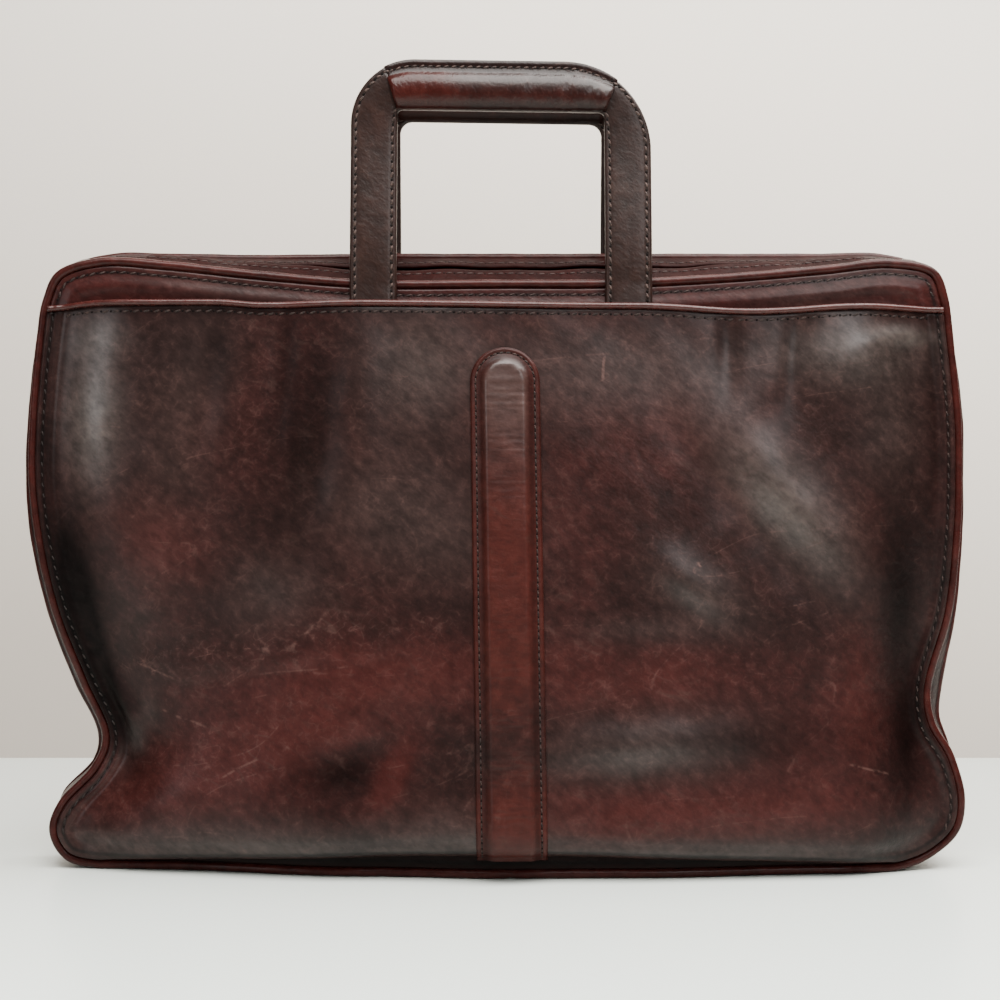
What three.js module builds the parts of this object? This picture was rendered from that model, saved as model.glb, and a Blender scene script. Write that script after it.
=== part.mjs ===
// Soft leather document case: piped panels joined by a gusset, an outside pocket and two stand-up handles.
// Millimetres, +Z up, X to the right, the front faces -Y. It stands on its base, above the origin.
import * as THREE from 'three';

// Leather, cord and the clearance between pieces that touch
const WALL = 2;
const PIPING_DIAMETER = 4.2;
const CLEARANCE = 0.3;

// Body
const BODY_WIDTH = 422; // over the front piping
const BODY_HEIGHT = 283.4; // floor to the top of the back piping
const TOP_DEPTH = 30; // between the piping lines along the top
const BASE_DEPTH = 78; // between the piping lines at the middle of the base
const BOW_FADE = 1.3; // how fast the bow of the base dies out upwards
const BELLY = 5; // how far a panel swells at half height
const SIDE_FOLD = 9; // how far the gusset folds in at the sides
const FOLD_START = 18; // height at which the fold begins
const FOLD_RISE = 70; // height over which it deepens
const PLACKET_RUN = 8; // width of each strip beside the mouth
const FRONT_PLACKET_LIFT = 2.5;
const BACK_PLACKET_LIFT = 4;

// Pocket
const POCKET_DROP = 26.4; // from the top of the body down to the top of the pocket's binding
const POCKET_HEIGHT = BODY_HEIGHT - POCKET_DROP;
const POCKET_WAVE = 3.5; // how far the mouth line wanders
const POCKET_ROOM = 8; // clear depth inside, away from the seams
const POCKET_SEAM = 9; // flat margin along the seam
const POCKET_RISE = 30; // over which the panel leaves the wall
const BINDING_HEIGHT = 2.6;
const BINDING_DEPTH = 3.6;

// Centre band
const BAND_WIDTH = 31;
const BAND_RIDGE = 20; // raised middle
const BAND_DROP = 21.5; // from the pocket's mouth down to the top of the band
const BAND_TOP = POCKET_HEIGHT - BAND_DROP;
const BAND_TOP_X = 4.1;
const BAND_BASE_X = 7.6;
const BAND_FLANGE = 1.6;
const BAND_PAD = 4;

// Handles
const HANDLE_WIDTH = 136.7;
const HANDLE_RISE = 84; // from the top of the body to the top of the grip's flange
const HANDLE_HEIGHT = BODY_HEIGHT + HANDLE_RISE;
const HANDLE_X = 2.5; // the handles stand a little right of the middle
const HANDLE_DROP = 2; // right end lower than the left
const LEG_WIDTH = 21.3;
const LEG_THICKNESS = 3.6;
const LEG_DROP = 52; // leg length below the panel's top edge
const LEG_SETTLE = 14; // below the top edge, the leg lies back on the panel from here
const LEFT_CORNER = 30; // outer radius where the leg turns into the grip
const RIGHT_CORNER = 40;
const MITRE = 6; // how much further out the seam between leg and grip ends at its top
const GRIP_SPACING = 27; // between the centres of the two grips
const GRIP_HEIGHT = 16.7;
const GRIP_DEPTH = 12;
const FLANGE_HEIGHT = 6.4;

const PIPING = PIPING_DIAMETER / 2;
const HALF_LINE = BODY_WIDTH / 2 - PIPING;
const LINE_HEIGHT = BODY_HEIGHT - PIPING_DIAMETER;
const SEAM_INSET = PIPING + CLEARANCE;

// Panel outlines as seen from the front, anticlockwise from the lower left corner.
// Each row: front across, front up, back across, back up, as shares of the half width and of the height.
// Each side starts at its corner.
const BOTTOM = [
  [-0.933, 0.014, -0.95, 0.014],
  [-0.86, 0, -0.86, 0],
  [-0.72, 0, -0.72, 0],
  [-0.52, 0, -0.52, 0],
  [-0.27, 0, -0.27, 0],
  [0, 0, 0, 0],
  [0.27, 0, 0.27, 0],
  [0.52, 0, 0.52, 0],
  [0.72, 0, 0.72, 0],
  [0.86, 0, 0.86, 0],
];
const RIGHT = [
  [0.943, 0.02, 0.955, 0.02],
  [0.998, 0.058, 1.0, 0.058],
  [1.01, 0.107, 1.02, 0.107],
  [0.988, 0.175, 1.015, 0.175],
  [0.948, 0.229, 0.992, 0.229],
  [0.94, 0.28, 0.998, 0.28],
  [0.985, 0.41, 1.03, 0.41],
  [1.003, 0.547, 1.044, 0.547],
  [1.006, 0.637, 1.045, 0.637],
  [1.004, 0.722, 1.044, 0.722],
  [0.986, 0.86, 1.02, 0.86],
  [0.975, 0.922, 0.99, 0.93],
];
const TOP = [
  [0.952, 0.962, 0.952, 0.98],
  [0.86, 0.977, 0.86, 1],
  [0.72, 0.967, 0.72, 1],
  [0.52, 0.954, 0.52, 1],
  [0.27, 0.944, 0.27, 1],
  [0, 0.943, 0, 1],
  [-0.27, 0.943, -0.27, 1],
  [-0.52, 0.958, -0.52, 0.998],
  [-0.72, 0.974, -0.72, 1],
  [-0.86, 0.979, -0.86, 1],
];
const LEFT = [
  [-0.948, 0.958, -0.946, 0.98],
  [-0.975, 0.918, -0.983, 0.93],
  [-0.988, 0.86, -1.022, 0.86],
  [-1.004, 0.722, -1.044, 0.722],
  [-1.006, 0.625, -1.048, 0.625],
  [-0.991, 0.527, -1.037, 0.527],
  [-0.956, 0.41, -1.001, 0.41],
  [-0.898, 0.293, -0.943, 0.293],
  [-0.85, 0.203, -0.887, 0.2],
  [-0.872, 0.156, -0.898, 0.153],
  [-0.943, 0.097, -0.965, 0.097],
  [-0.962, 0.055, -0.975, 0.055],
];
const OUTLINE = [...BOTTOM, ...RIGHT, ...TOP, ...LEFT];
const LOWER_RIGHT = BOTTOM.length;
const UPPER_RIGHT = LOWER_RIGHT + RIGHT.length;
const UPPER_LEFT = UPPER_RIGHT + TOP.length;

// How far the base line bows out of its corners. Each row: across, share of the full bow.
const BASE_BOW = [
  [-1, 0],
  [-0.72, 0.12],
  [-0.27, 0.76],
  [0, 1],
  [0.27, 0.93],
  [0.72, 0.52],
  [1, 0.12],
];

// Slack leather on the front.
// Each row: across, up, half width, half height, push as a share of the top depth.
const FRONT_RELIEF = [
  [-0.83, 0.25, 0.13, 0.2, -0.26],
  [0.9, 0.31, 0.1, 0.22, -0.2],
  [-0.55, 0.12, 0.3, 0.14, 0.1],
  [0.6, 0.14, 0.25, 0.16, 0.08],
];

// Wander of the pocket's mouth. Each row: across, share of POCKET_WAVE.
const MOUTH_LINE = [
  [-1, -0.5],
  [-0.85, 0.2],
  [-0.6, 0.2],
  [-0.5, -0.2],
  [-0.3, 0.1],
  [0.3, -0.3],
  [0.55, -1],
  [0.8, -0.3],
  [1, -0.6],
];

// Steps of the grids
const STEPS_PER_ROW = 2; // the panels, pipings and gusset share their steps along the outline
const BAND_ZONE = 0.07; // share of the panel either side of the middle whose columns follow the band
const PIPING_SIDES = 6;
const BINDING_SIDES = 8;
const PLACKET_STEPS = 18;
const BAND_CAP_ROWS = 5;
const LEG_ROWS = 8;
const CORNER_ROWS = 6;
const GRIP_STEPS = 8;

const FRONT = -1;
const BACK = 1;

function mix(from, to, share) {
  return from + (to - from) * share;
}

function smooth(share) {
  const held = Math.min(Math.max(share, 0), 1);
  return held * held * (3 - 2 * held);
}

// Value of a two-column table, eased from each row to the next.
function read(table, at) {
  const next = table.findIndex((row) => row[0] > at);
  if (next === 0) return table[0][1];
  if (next < 0) return table[table.length - 1][1];
  const [start, low] = table[next - 1];
  const [end, high] = table[next];
  return mix(low, high, smooth((at - start) / (end - start)));
}

// Distance of a panel's middle surface from the case's middle plane.
function panelDepth(side, x, z) {
  const across = x / HALF_LINE;
  const up = Math.min(Math.max((z - PIPING) / LINE_HEIGHT, 0), 1);
  const bow = ((BASE_DEPTH - TOP_DEPTH) / 2) * read(BASE_BOW, across) * (1 - up) ** BOW_FADE;
  const belly = BELLY * Math.max(1 - across * across, 0) * Math.sin(Math.PI * up);
  let depth = TOP_DEPTH / 2 + bow + belly;
  if (side === FRONT) {
    for (const [midAcross, midUp, wide, high, push] of FRONT_RELIEF) {
      const away = ((across - midAcross) / wide) ** 2 + ((up - midUp) / high) ** 2;
      depth += push * TOP_DEPTH * Math.exp(-away);
    }
  }
  return depth;
}

function outlineCurve(side) {
  const column = side === FRONT ? 0 : 2;
  const points = OUTLINE.map(
    (row) => new THREE.Vector3(row[column] * HALF_LINE, 0, PIPING + row[column + 1] * LINE_HEIGHT),
  );
  return new THREE.CatmullRomCurve3(points, true, 'centripetal');
}

const CURVES = { [FRONT]: outlineCurve(FRONT), [BACK]: outlineCurve(BACK) };

// Outline at a place counted in rows, moved inwards in the panel's plane.
function outlineAt(side, place, inset = 0) {
  const share = (place + OUTLINE.length) % OUTLINE.length / OUTLINE.length;
  const point = CURVES[side].getPoint(share);
  point.z = Math.max(point.z, PIPING);
  const outward = outwardAt(side, place);
  return point.addScaledVector(outward, -inset);
}

function outwardAt(side, place) {
  const share = (place + OUTLINE.length) % OUTLINE.length / OUTLINE.length;
  const along = CURVES[side].getTangent(share);
  return new THREE.Vector3(along.z, 0, -along.x).normalize();
}

// Centre line of a piping.
function pipingAt(side, place) {
  const point = outlineAt(side, place);
  point.y = side * panelDepth(side, point.x, point.z);
  return point;
}

// Solid from a list of vertices and quads or triangles, with its faces turned outwards.
function solid(vertices, faces) {
  const triangles = [];
  for (const [a, b, c, d] of faces) {
    triangles.push([a, b, c]);
    if (d !== undefined) triangles.push([a, c, d]);
  }
  const normal = new THREE.Vector3();
  let volume = 0;
  for (const [a, b, c] of triangles) {
    volume += normal.crossVectors(vertices[b], vertices[c]).dot(vertices[a]);
  }
  if (volume < 0) triangles.forEach((triangle) => triangle.reverse());
  const geometry = new THREE.BufferGeometry().setFromPoints(vertices);
  geometry.setIndex(triangles.flat());
  geometry.computeVertexNormals();
  return geometry;
}

// Closed sheet between two grids of points with the same columns and rows.
function sheet(near, far) {
  const columns = near.length;
  const rows = near[0].length;
  const vertices = [...near.flat(), ...far.flat()];
  const at = (layer, i, j) => layer * columns * rows + i * rows + j;
  const faces = [];
  for (let i = 0; i + 1 < columns; i += 1) {
    for (let j = 0; j + 1 < rows; j += 1) {
      faces.push([at(0, i, j), at(0, i + 1, j), at(0, i + 1, j + 1), at(0, i, j + 1)]);
      faces.push([at(1, i, j), at(1, i, j + 1), at(1, i + 1, j + 1), at(1, i + 1, j)]);
    }
    faces.push([at(0, i, 0), at(1, i, 0), at(1, i + 1, 0), at(0, i + 1, 0)]);
    faces.push([at(0, i + 1, rows - 1), at(1, i + 1, rows - 1), at(1, i, rows - 1), at(0, i, rows - 1)]);
  }
  for (let j = 0; j + 1 < rows; j += 1) {
    faces.push([at(0, 0, j + 1), at(1, 0, j + 1), at(1, 0, j), at(0, 0, j)]);
    const i = columns - 1;
    faces.push([at(0, i, j), at(1, i, j), at(1, i, j + 1), at(0, i, j + 1)]);
  }
  return solid(vertices, faces);
}

// Rings of points joined one to the next, either round in a loop or with flat ends.
function loft(rings, looped) {
  const sides = rings[0].length;
  const vertices = rings.flat();
  const faces = [];
  const last = looped ? rings.length : rings.length - 1;
  for (let i = 0; i < last; i += 1) {
    const start = i * sides;
    const next = ((i + 1) % rings.length) * sides;
    for (let k = 0; k < sides; k += 1) {
      const turn = (k + 1) % sides;
      faces.push([start + k, next + k, next + turn, start + turn]);
    }
  }
  if (!looped) {
    for (const [start, flip] of [[0, false], [(rings.length - 1) * sides, true]]) {
      const middle = new THREE.Vector3();
      for (let k = 0; k < sides; k += 1) middle.addScaledVector(vertices[start + k], 1 / sides);
      vertices.push(middle);
      for (let k = 0; k < sides; k += 1) {
        const pair = [start + k, start + ((k + 1) % sides)];
        faces.push(flip ? [...pair.reverse(), vertices.length - 1] : [...pair, vertices.length - 1]);
      }
    }
  }
  return solid(vertices, faces);
}

// Point of a panel between its four edges, which stop short of its piping.
// The bends of the sides fade towards the middle.
function panelPoint(side, u, v) {
  const edge = (from, to, share) => outlineAt(side, mix(from, to, share), SEAM_INSET);
  const base = (share) => edge(0, LOWER_RIGHT, share);
  const top = (share) => edge(UPPER_LEFT, UPPER_RIGHT, share);
  const leftBend = edge(OUTLINE.length, UPPER_LEFT, v).sub(base(0).lerp(top(0), v));
  const rightBend = edge(LOWER_RIGHT, UPPER_RIGHT, v).sub(base(1).lerp(top(1), v));
  const point = base(u).lerp(top(u), v);
  point.x += leftBend.x * (1 - u) ** 3 + rightBend.x * u ** 3;
  point.z += leftBend.z * (1 - u) + rightBend.z * u;
  return point;
}

function bandMiddle(z) {
  return mix(BAND_BASE_X, BAND_TOP_X, z / BAND_TOP);
}

// Point of the front panel on one of its columns: columns near the middle follow the centre band.
function frontPoint(column, v) {
  if (column.band === undefined) return panelPoint(FRONT, column.share, v);
  const point = panelPoint(FRONT, 0.5, v);
  point.x = bandMiddle(point.z) + (column.band * BAND_WIDTH) / 2;
  return point;
}

// Grid moved to a depth in front of or behind the middle plane.
function atDepth(grid, side, extra) {
  return grid.map((column) =>
    column.map((p) => new THREE.Vector3(p.x, side * (panelDepth(side, p.x, p.z) + extra(p)), p.z)),
  );
}

function mouthHeight(x) {
  return POCKET_HEIGHT - BINDING_HEIGHT - CLEARANCE + POCKET_WAVE * read(MOUTH_LINE, x / HALF_LINE);
}

// Share of the way up a column at which it meets the mouth line.
function mouthShare(column) {
  let [low, high] = [0.5, 1];
  while (high - low > 1e-6) {
    const middle = (low + high) / 2;
    const point = frontPoint(column, middle);
    if (point.z < mouthHeight(point.x)) low = middle;
    else high = middle;
  }
  return low;
}

function evenShares(count) {
  return Array.from({ length: count + 1 }, (_, i) => i / count);
}

const COLUMN_SHARES = evenShares(STEPS_PER_ROW * BOTTOM.length);
const ROW_SHARES = evenShares(STEPS_PER_ROW * RIGHT.length);
const FRONT_COLUMNS = [
  ...COLUMN_SHARES.filter((share) => share < 0.5 - BAND_ZONE).map((share) => ({ share })),
  ...[-1, 0, 1].map((band) => ({ band })),
  ...COLUMN_SHARES.filter((share) => share > 0.5 + BAND_ZONE).map((share) => ({ share })),
];
const MOUTH_SHARES = FRONT_COLUMNS.map(mouthShare);
const ROWS_BELOW_MOUTH = ROW_SHARES.filter((v) => v < Math.min(...MOUTH_SHARES) - 0.01);
const ROWS_ABOVE_MOUTH = ROW_SHARES.filter((v) => v > Math.max(...MOUTH_SHARES) + 0.01);
const MOUTH_ROW = ROWS_BELOW_MOUTH.length;
const MIDDLE_COLUMN = FRONT_COLUMNS.findIndex((column) => column.band === 0);

// The front panel has one row of points on the pocket's mouth line.
const FRONT_GRID = FRONT_COLUMNS.map((column, i) =>
  [...ROWS_BELOW_MOUTH, MOUTH_SHARES[i], ...ROWS_ABOVE_MOUTH].map((v) => frontPoint(column, v)),
);
const BACK_GRID = COLUMN_SHARES.map((u) => ROW_SHARES.map((v) => panelPoint(BACK, u, v)));

function wall(side, grid) {
  return sheet(atDepth(grid, side, () => WALL / 2), atDepth(grid, side, () => -WALL / 2));
}

// Distance of a point on the front panel from the nearest side edge.
const LEFT_EDGE = FRONT_GRID[0];
const RIGHT_EDGE = FRONT_GRID[FRONT_GRID.length - 1];
function edgeX(edge, z) {
  const next = edge.findIndex((point) => point.z > z);
  if (next === 0) return edge[0].x;
  if (next < 0) return edge[edge.length - 1].x;
  const [below, above] = [edge[next - 1], edge[next]];
  return mix(below.x, above.x, (z - below.z) / (above.z - below.z));
}

// Distance from the front panel's middle surface to the pocket's.
function pocketLift(p) {
  const fromSide = Math.min(p.x - edgeX(LEFT_EDGE, p.z), edgeX(RIGHT_EDGE, p.z) - p.x);
  const fromBase = p.z - PIPING - SEAM_INSET;
  const sideRise = smooth((fromSide - POCKET_SEAM) / POCKET_RISE);
  const baseRise = smooth((fromBase - POCKET_SEAM / 2) / POCKET_RISE);
  return WALL + mix(CLEARANCE, POCKET_ROOM, sideRise * baseRise);
}

const POCKET_GRID = FRONT_GRID.map((column) => column.slice(0, MOUTH_ROW + 1));
const POCKET_FACE = atDepth(POCKET_GRID, FRONT, (p) => pocketLift(p) + WALL / 2);

function pocketPanel() {
  return sheet(POCKET_FACE, atDepth(POCKET_GRID, FRONT, (p) => pocketLift(p) - WALL / 2));
}

// Rolled edge that closes the pocket panel's top.
function pocketBinding() {
  const rings = POCKET_FACE.map((column) => {
    const edge = column[MOUTH_ROW];
    const ring = [];
    for (let k = 0; k < BINDING_SIDES; k += 1) {
      const turn = (2 * Math.PI * k) / BINDING_SIDES;
      const y = edge.y + WALL + (BINDING_DEPTH / 2) * (Math.cos(turn) - 1);
      const z = edge.z + CLEARANCE + (BINDING_HEIGHT / 2) * (1 + Math.sin(turn));
      ring.push(new THREE.Vector3(edge.x, y, z));
    }
    return ring;
  });
  return loft(rings, false);
}

// Point of a row of points at a distance across.
function acrossAt(line, x) {
  const next = line.findIndex((point) => point.x > x + 1e-6);
  const [left, right] = [line[next - 1], line[next]];
  return left.clone().lerp(right, (x - left.x) / (right.x - left.x));
}

// Row of points of the pocket's front face at one height.
function pocketLineAt(z) {
  return POCKET_FACE.map((column) => {
    const next = Math.max(column.findIndex((point) => point.z >= z), 1);
    const [below, above] = [column[next - 1], column[next]];
    return below.clone().lerp(above, (z - below.z) / (above.z - below.z));
  });
}

// Padded strip down the pocket: flat stitched flanges either side of a raised middle, round at the top.
function centreBand() {
  const half = BAND_WIDTH / 2;
  const capBase = BAND_TOP - half;
  const rows = [];
  for (let j = 0; POCKET_FACE[MIDDLE_COLUMN][j].z < capBase - half / 4; j += 1) {
    rows.push({ line: POCKET_FACE.map((column) => column[j]), narrow: 1 });
  }
  for (let j = 0; j <= BAND_CAP_ROWS; j += 1) {
    const turn = (j / (BAND_CAP_ROWS + 0.5)) * (Math.PI / 2);
    rows.push({ line: pocketLineAt(capBase + half * Math.sin(turn)), narrow: Math.cos(turn) });
  }
  const ridge = BAND_RIDGE / BAND_WIDTH;
  // Each row: share of the half width, thickness.
  const rightSide = [
    [ridge * 0.84, BAND_PAD * 0.8],
    [ridge * 1.1, BAND_FLANGE],
    [1, BAND_FLANGE],
  ];
  const leftSide = rightSide.map(([share, height]) => [-share, height]).reverse();
  const columns = [...leftSide, [0, BAND_PAD], ...rightSide];
  const layer = (thick) => columns.map(([share, height]) => rows.map(({ line, narrow }) => {
    const point = acrossAt(line, bandMiddle(line[MIDDLE_COLUMN].z) + share * half * narrow);
    point.y -= CLEARANCE + (thick ? mix(BAND_FLANGE, height, smooth(narrow * 2)) : 0);
    return point;
  }));
  return sheet(layer(true), layer(false));
}

function piping(side) {
  const rings = [];
  for (let step = 0; step < OUTLINE.length * STEPS_PER_ROW; step += 1) {
    const place = step / STEPS_PER_ROW;
    const middle = pipingAt(side, place);
    const along = pipingAt(side, place + 0.05).sub(pipingAt(side, place - 0.05)).normalize();
    const outward = outwardAt(side, place);
    const inDepth = new THREE.Vector3().crossVectors(along, outward).normalize();
    const ring = [];
    for (let k = 0; k < PIPING_SIDES; k += 1) {
      const turn = (2 * Math.PI * k) / PIPING_SIDES;
      const point = middle.clone().addScaledVector(outward, PIPING * Math.cos(turn));
      ring.push(point.addScaledVector(inDepth, PIPING * Math.sin(turn)));
    }
    rings.push(ring);
  }
  return loft(rings, true);
}

// Line from the front piping to the back piping at one place on the outline.
function bridge(place) {
  const front = pipingAt(FRONT, place);
  const span = pipingAt(BACK, place).sub(front);
  return { front, length: span.length(), along: span.normalize() };
}

// The gusset runs down one side, under the base and up the other. It ends half a row past each upper corner.
const PAST_CORNER = 0.5;
const GUSSET_START = UPPER_LEFT - OUTLINE.length - PAST_CORNER;
const GUSSET_END = UPPER_RIGHT + PAST_CORNER;

function gusset() {
  const shares = [0, 0.25, 0.5, 0.75, 1];
  const layer = (lift) => {
    const columns = [];
    for (let place = GUSSET_START; place <= GUSSET_END; place += 1 / STEPS_PER_ROW) {
      const { front, length, along } = bridge(place);
      const outward = outwardAt(FRONT, place).add(outwardAt(BACK, place)).normalize();
      const nearEnd = Math.min(place - GUSSET_START, GUSSET_END - place);
      const fold = SIDE_FOLD * smooth((front.z - FOLD_START) / FOLD_RISE) * smooth(nearEnd / 2);
      columns.push(shares.map((share) => {
        const run = mix(SEAM_INSET, length - SEAM_INSET, share);
        const drop = share > 0 && share < 1 ? PIPING - WALL / 2 : 0;
        const out = drop - fold * Math.sin(Math.PI * share) + lift;
        return front.clone().addScaledVector(along, run).addScaledVector(outward, out);
      }));
    }
    return columns;
  };
  return sheet(layer(WALL / 2), layer(-WALL / 2));
}

// Strip beside the mouth, from its piping towards the other.
function placket(side) {
  const lift = side === FRONT ? FRONT_PLACKET_LIFT : BACK_PLACKET_LIFT;
  const layer = (offset) => {
    const columns = [];
    for (let step = 0; step <= PLACKET_STEPS; step += 1) {
      const pace = pipingAt(side, GUSSET_END + 0.1).distanceTo(pipingAt(side, GUSSET_END)) / 0.1;
      const start = GUSSET_END + CLEARANCE / pace;
      const end = GUSSET_START + OUTLINE.length - CLEARANCE / pace;
      const place = mix(start, end, step / PLACKET_STEPS);
      const { front, length, along } = bridge(place);
      const upward = new THREE.Vector3(0, -along.z, along.y).normalize();
      const nearEnd = smooth(Math.min(step, PLACKET_STEPS - step) / 3);
      columns.push([0, 0.5, 1].map((share) => {
        const run = SEAM_INSET + share * PLACKET_RUN;
        const point = front.clone().addScaledVector(along, side === FRONT ? run : length - run);
        return point.addScaledVector(upward, offset + lift * share * nearEnd);
      }));
    }
    return columns;
  };
  return sheet(layer(WALL / 2), layer(-WALL / 2));
}

// Height of a panel's top piping where the handle crosses it.
function edgeHeight(side) {
  return pipingAt(side, (UPPER_RIGHT + UPPER_LEFT) / 2).z;
}

const GRIP_BASE = HANDLE_HEIGHT - FLANGE_HEIGHT - GRIP_HEIGHT;

// Distance of a handle's middle from the case's middle plane.
function handleDepth(side, x, z) {
  const top = edgeHeight(side);
  const onPanel = panelDepth(side, x, Math.min(z, top)) + (WALL + LEG_THICKNESS) / 2 + CLEARANCE;
  const overPiping = panelDepth(side, x, Math.min(z, top)) + PIPING + CLEARANCE + LEG_THICKNESS / 2;
  const lower = mix(onPanel, overPiping, smooth((z - (top - 2 * LEG_SETTLE)) / LEG_SETTLE));
  return mix(lower, GRIP_SPACING / 2, smooth((z - top - PIPING) / (GRIP_BASE - top - PIPING)));
}

function handlePoint(side, x, z, depth) {
  const drop = (HANDLE_DROP * x) / HANDLE_WIDTH;
  const clear = smooth((z - BODY_HEIGHT) / (GRIP_BASE - BODY_HEIGHT));
  const y = side * (handleDepth(side, HANDLE_X + x, z) + depth);
  return new THREE.Vector3(HANDLE_X + x, y, z - drop * clear);
}

function cornerRadius(hand) {
  return hand < 0 ? LEFT_CORNER : RIGHT_CORNER;
}

// Height of the handle's rounded top edge at a distance from the handle's middle.
function topEdge(x) {
  const radius = cornerRadius(Math.sign(x));
  const intoCorner = Math.max(Math.abs(x) - (HANDLE_WIDTH / 2 - radius), 0);
  return HANDLE_HEIGHT - radius + Math.sqrt(radius ** 2 - intoCorner ** 2);
}

// Flat leg that turns the corner at the top and ends in a mitre.
function handleLeg(side, hand) {
  const radius = cornerRadius(hand);
  const outerX = HANDLE_WIDTH / 2;
  const innerX = outerX - LEG_WIDTH;
  const base = edgeHeight(side) - LEG_DROP;
  const bend = HANDLE_HEIGHT - radius;
  const innerBend = GRIP_BASE - radius / 2;
  const rows = [];
  for (let j = 0; j <= LEG_ROWS; j += 1) {
    const share = j / LEG_ROWS;
    rows.push([[outerX, mix(base, bend, share)], [innerX, mix(base, innerBend, share)]]);
  }
  const lastTurn = Math.acos((innerX + MITRE - outerX + radius) / radius);
  for (let j = 1; j <= CORNER_ROWS; j += 1) {
    const share = j / CORNER_ROWS;
    const x = outerX - radius * (1 - Math.cos(share * lastTurn));
    rows.push([[x, topEdge(hand * x)], [innerX, mix(innerBend, GRIP_BASE, share)]]);
  }
  const layer = (depth) => [0, 1].map((share) => rows.map(([outer, inner]) => {
    const x = mix(outer[0], inner[0], share);
    return handlePoint(side, hand * x, mix(outer[1], inner[1], share), depth);
  }));
  return sheet(layer(LEG_THICKNESS / 2), layer(-LEG_THICKNESS / 2));
}

// Padded grip: leather rolled round a core, its two edges sewn together in a flange along the top.
function handleGrip(side) {
  const [half, neck] = [GRIP_DEPTH / 2, LEG_THICKNESS / 2];
  // Each row: depth, height above the grip's underside.
  const profile = [
    [neck, GRIP_HEIGHT + FLANGE_HEIGHT],
    [neck, GRIP_HEIGHT + FLANGE_HEIGHT * 0.1],
    [half * 0.72, GRIP_HEIGHT * 0.86],
    [half, GRIP_HEIGHT * 0.6],
    [half, GRIP_HEIGHT * 0.38],
    [half * 0.7, GRIP_HEIGHT * 0.12],
    [0, 0],
  ];
  const mirrored = profile.slice(0, -1).reverse().map(([depth, height]) => [-depth, height]);
  const section = [...profile, ...mirrored];
  const innerX = HANDLE_WIDTH / 2 - LEG_WIDTH;
  const fullHeight = GRIP_HEIGHT + FLANGE_HEIGHT;
  const rings = [];
  for (let step = 0; step <= GRIP_STEPS; step += 1) {
    const share = (2 * step) / GRIP_STEPS - 1;
    const topX = share * (innerX + MITRE - 2 * CLEARANCE);
    const squeeze = (topEdge(topX) - GRIP_BASE) / fullHeight;
    rings.push(section.map(([depth, height]) => {
      const x = share * (innerX + (MITRE * height) / fullHeight - 2 * CLEARANCE);
      return handlePoint(side, x, GRIP_BASE + height * squeeze, depth);
    }));
  }
  return loft(rings, false);
}

const LEATHER = new THREE.MeshStandardMaterial({ color: 0x3a1d19, roughness: 0.42, metalness: 0 });
const DARK_LEATHER = new THREE.MeshStandardMaterial({ color: 0x2c1715, roughness: 0.5, metalness: 0 });
const RED_LEATHER = new THREE.MeshStandardMaterial({ color: 0x5e2620, roughness: 0.38, metalness: 0 });

const documentCase = new THREE.Group();

function add(name, geometry, material) {
  const mesh = new THREE.Mesh(geometry, material);
  mesh.name = name;
  documentCase.add(mesh);
}

add('front_wall', wall(FRONT, FRONT_GRID), LEATHER);
add('back_wall', wall(BACK, BACK_GRID), LEATHER);
add('gusset', gusset(), DARK_LEATHER);
add('placket_front', placket(FRONT), DARK_LEATHER);
add('placket_back', placket(BACK), DARK_LEATHER);
add('piping_front', piping(FRONT), RED_LEATHER);
add('piping_back', piping(BACK), RED_LEATHER);
add('pocket_panel', pocketPanel(), LEATHER);
add('pocket_binding', pocketBinding(), RED_LEATHER);
add('centre_band', centreBand(), RED_LEATHER);
for (const [place, side] of [['front', FRONT], ['rear', BACK]]) {
  add(`handle_${place}_leg_left`, handleLeg(side, -1), LEATHER);
  add(`handle_${place}_leg_right`, handleLeg(side, 1), LEATHER);
  add(`handle_${place}_grip`, handleGrip(side), LEATHER);
}

// The origin is below the middle of the whole case.
const extent = new THREE.Box3().setFromObject(documentCase);
const middle = extent.getCenter(new THREE.Vector3());
documentCase.position.set(-middle.x, -middle.y, -extent.min.z);

export default documentCase;
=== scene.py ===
import math

import bpy
import numpy as np
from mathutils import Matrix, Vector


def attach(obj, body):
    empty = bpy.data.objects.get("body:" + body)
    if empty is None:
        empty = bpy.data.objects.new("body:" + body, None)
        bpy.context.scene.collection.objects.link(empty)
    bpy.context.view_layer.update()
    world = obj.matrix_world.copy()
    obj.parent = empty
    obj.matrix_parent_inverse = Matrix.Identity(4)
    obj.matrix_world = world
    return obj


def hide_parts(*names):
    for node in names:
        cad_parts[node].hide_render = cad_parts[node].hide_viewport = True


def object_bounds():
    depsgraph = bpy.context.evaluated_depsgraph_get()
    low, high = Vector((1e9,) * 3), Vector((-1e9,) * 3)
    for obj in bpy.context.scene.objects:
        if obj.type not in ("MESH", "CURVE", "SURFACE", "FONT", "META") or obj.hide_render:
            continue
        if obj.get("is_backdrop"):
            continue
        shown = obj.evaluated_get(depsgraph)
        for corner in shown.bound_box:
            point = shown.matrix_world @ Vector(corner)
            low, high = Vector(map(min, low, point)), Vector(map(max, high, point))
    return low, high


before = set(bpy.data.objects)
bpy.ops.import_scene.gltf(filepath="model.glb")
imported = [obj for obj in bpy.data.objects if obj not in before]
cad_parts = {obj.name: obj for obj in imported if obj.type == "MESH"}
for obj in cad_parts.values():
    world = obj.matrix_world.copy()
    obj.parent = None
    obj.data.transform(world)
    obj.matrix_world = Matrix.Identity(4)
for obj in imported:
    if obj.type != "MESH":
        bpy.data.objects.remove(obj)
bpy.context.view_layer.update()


# Camera of the photograph: level, a little under a metre in front of the pocket side, just above the
# middle of the case's height, with a lens a little longer than normal.
lens_data = bpy.data.cameras.new("camera")
lens_data.lens = 67.7
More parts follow.
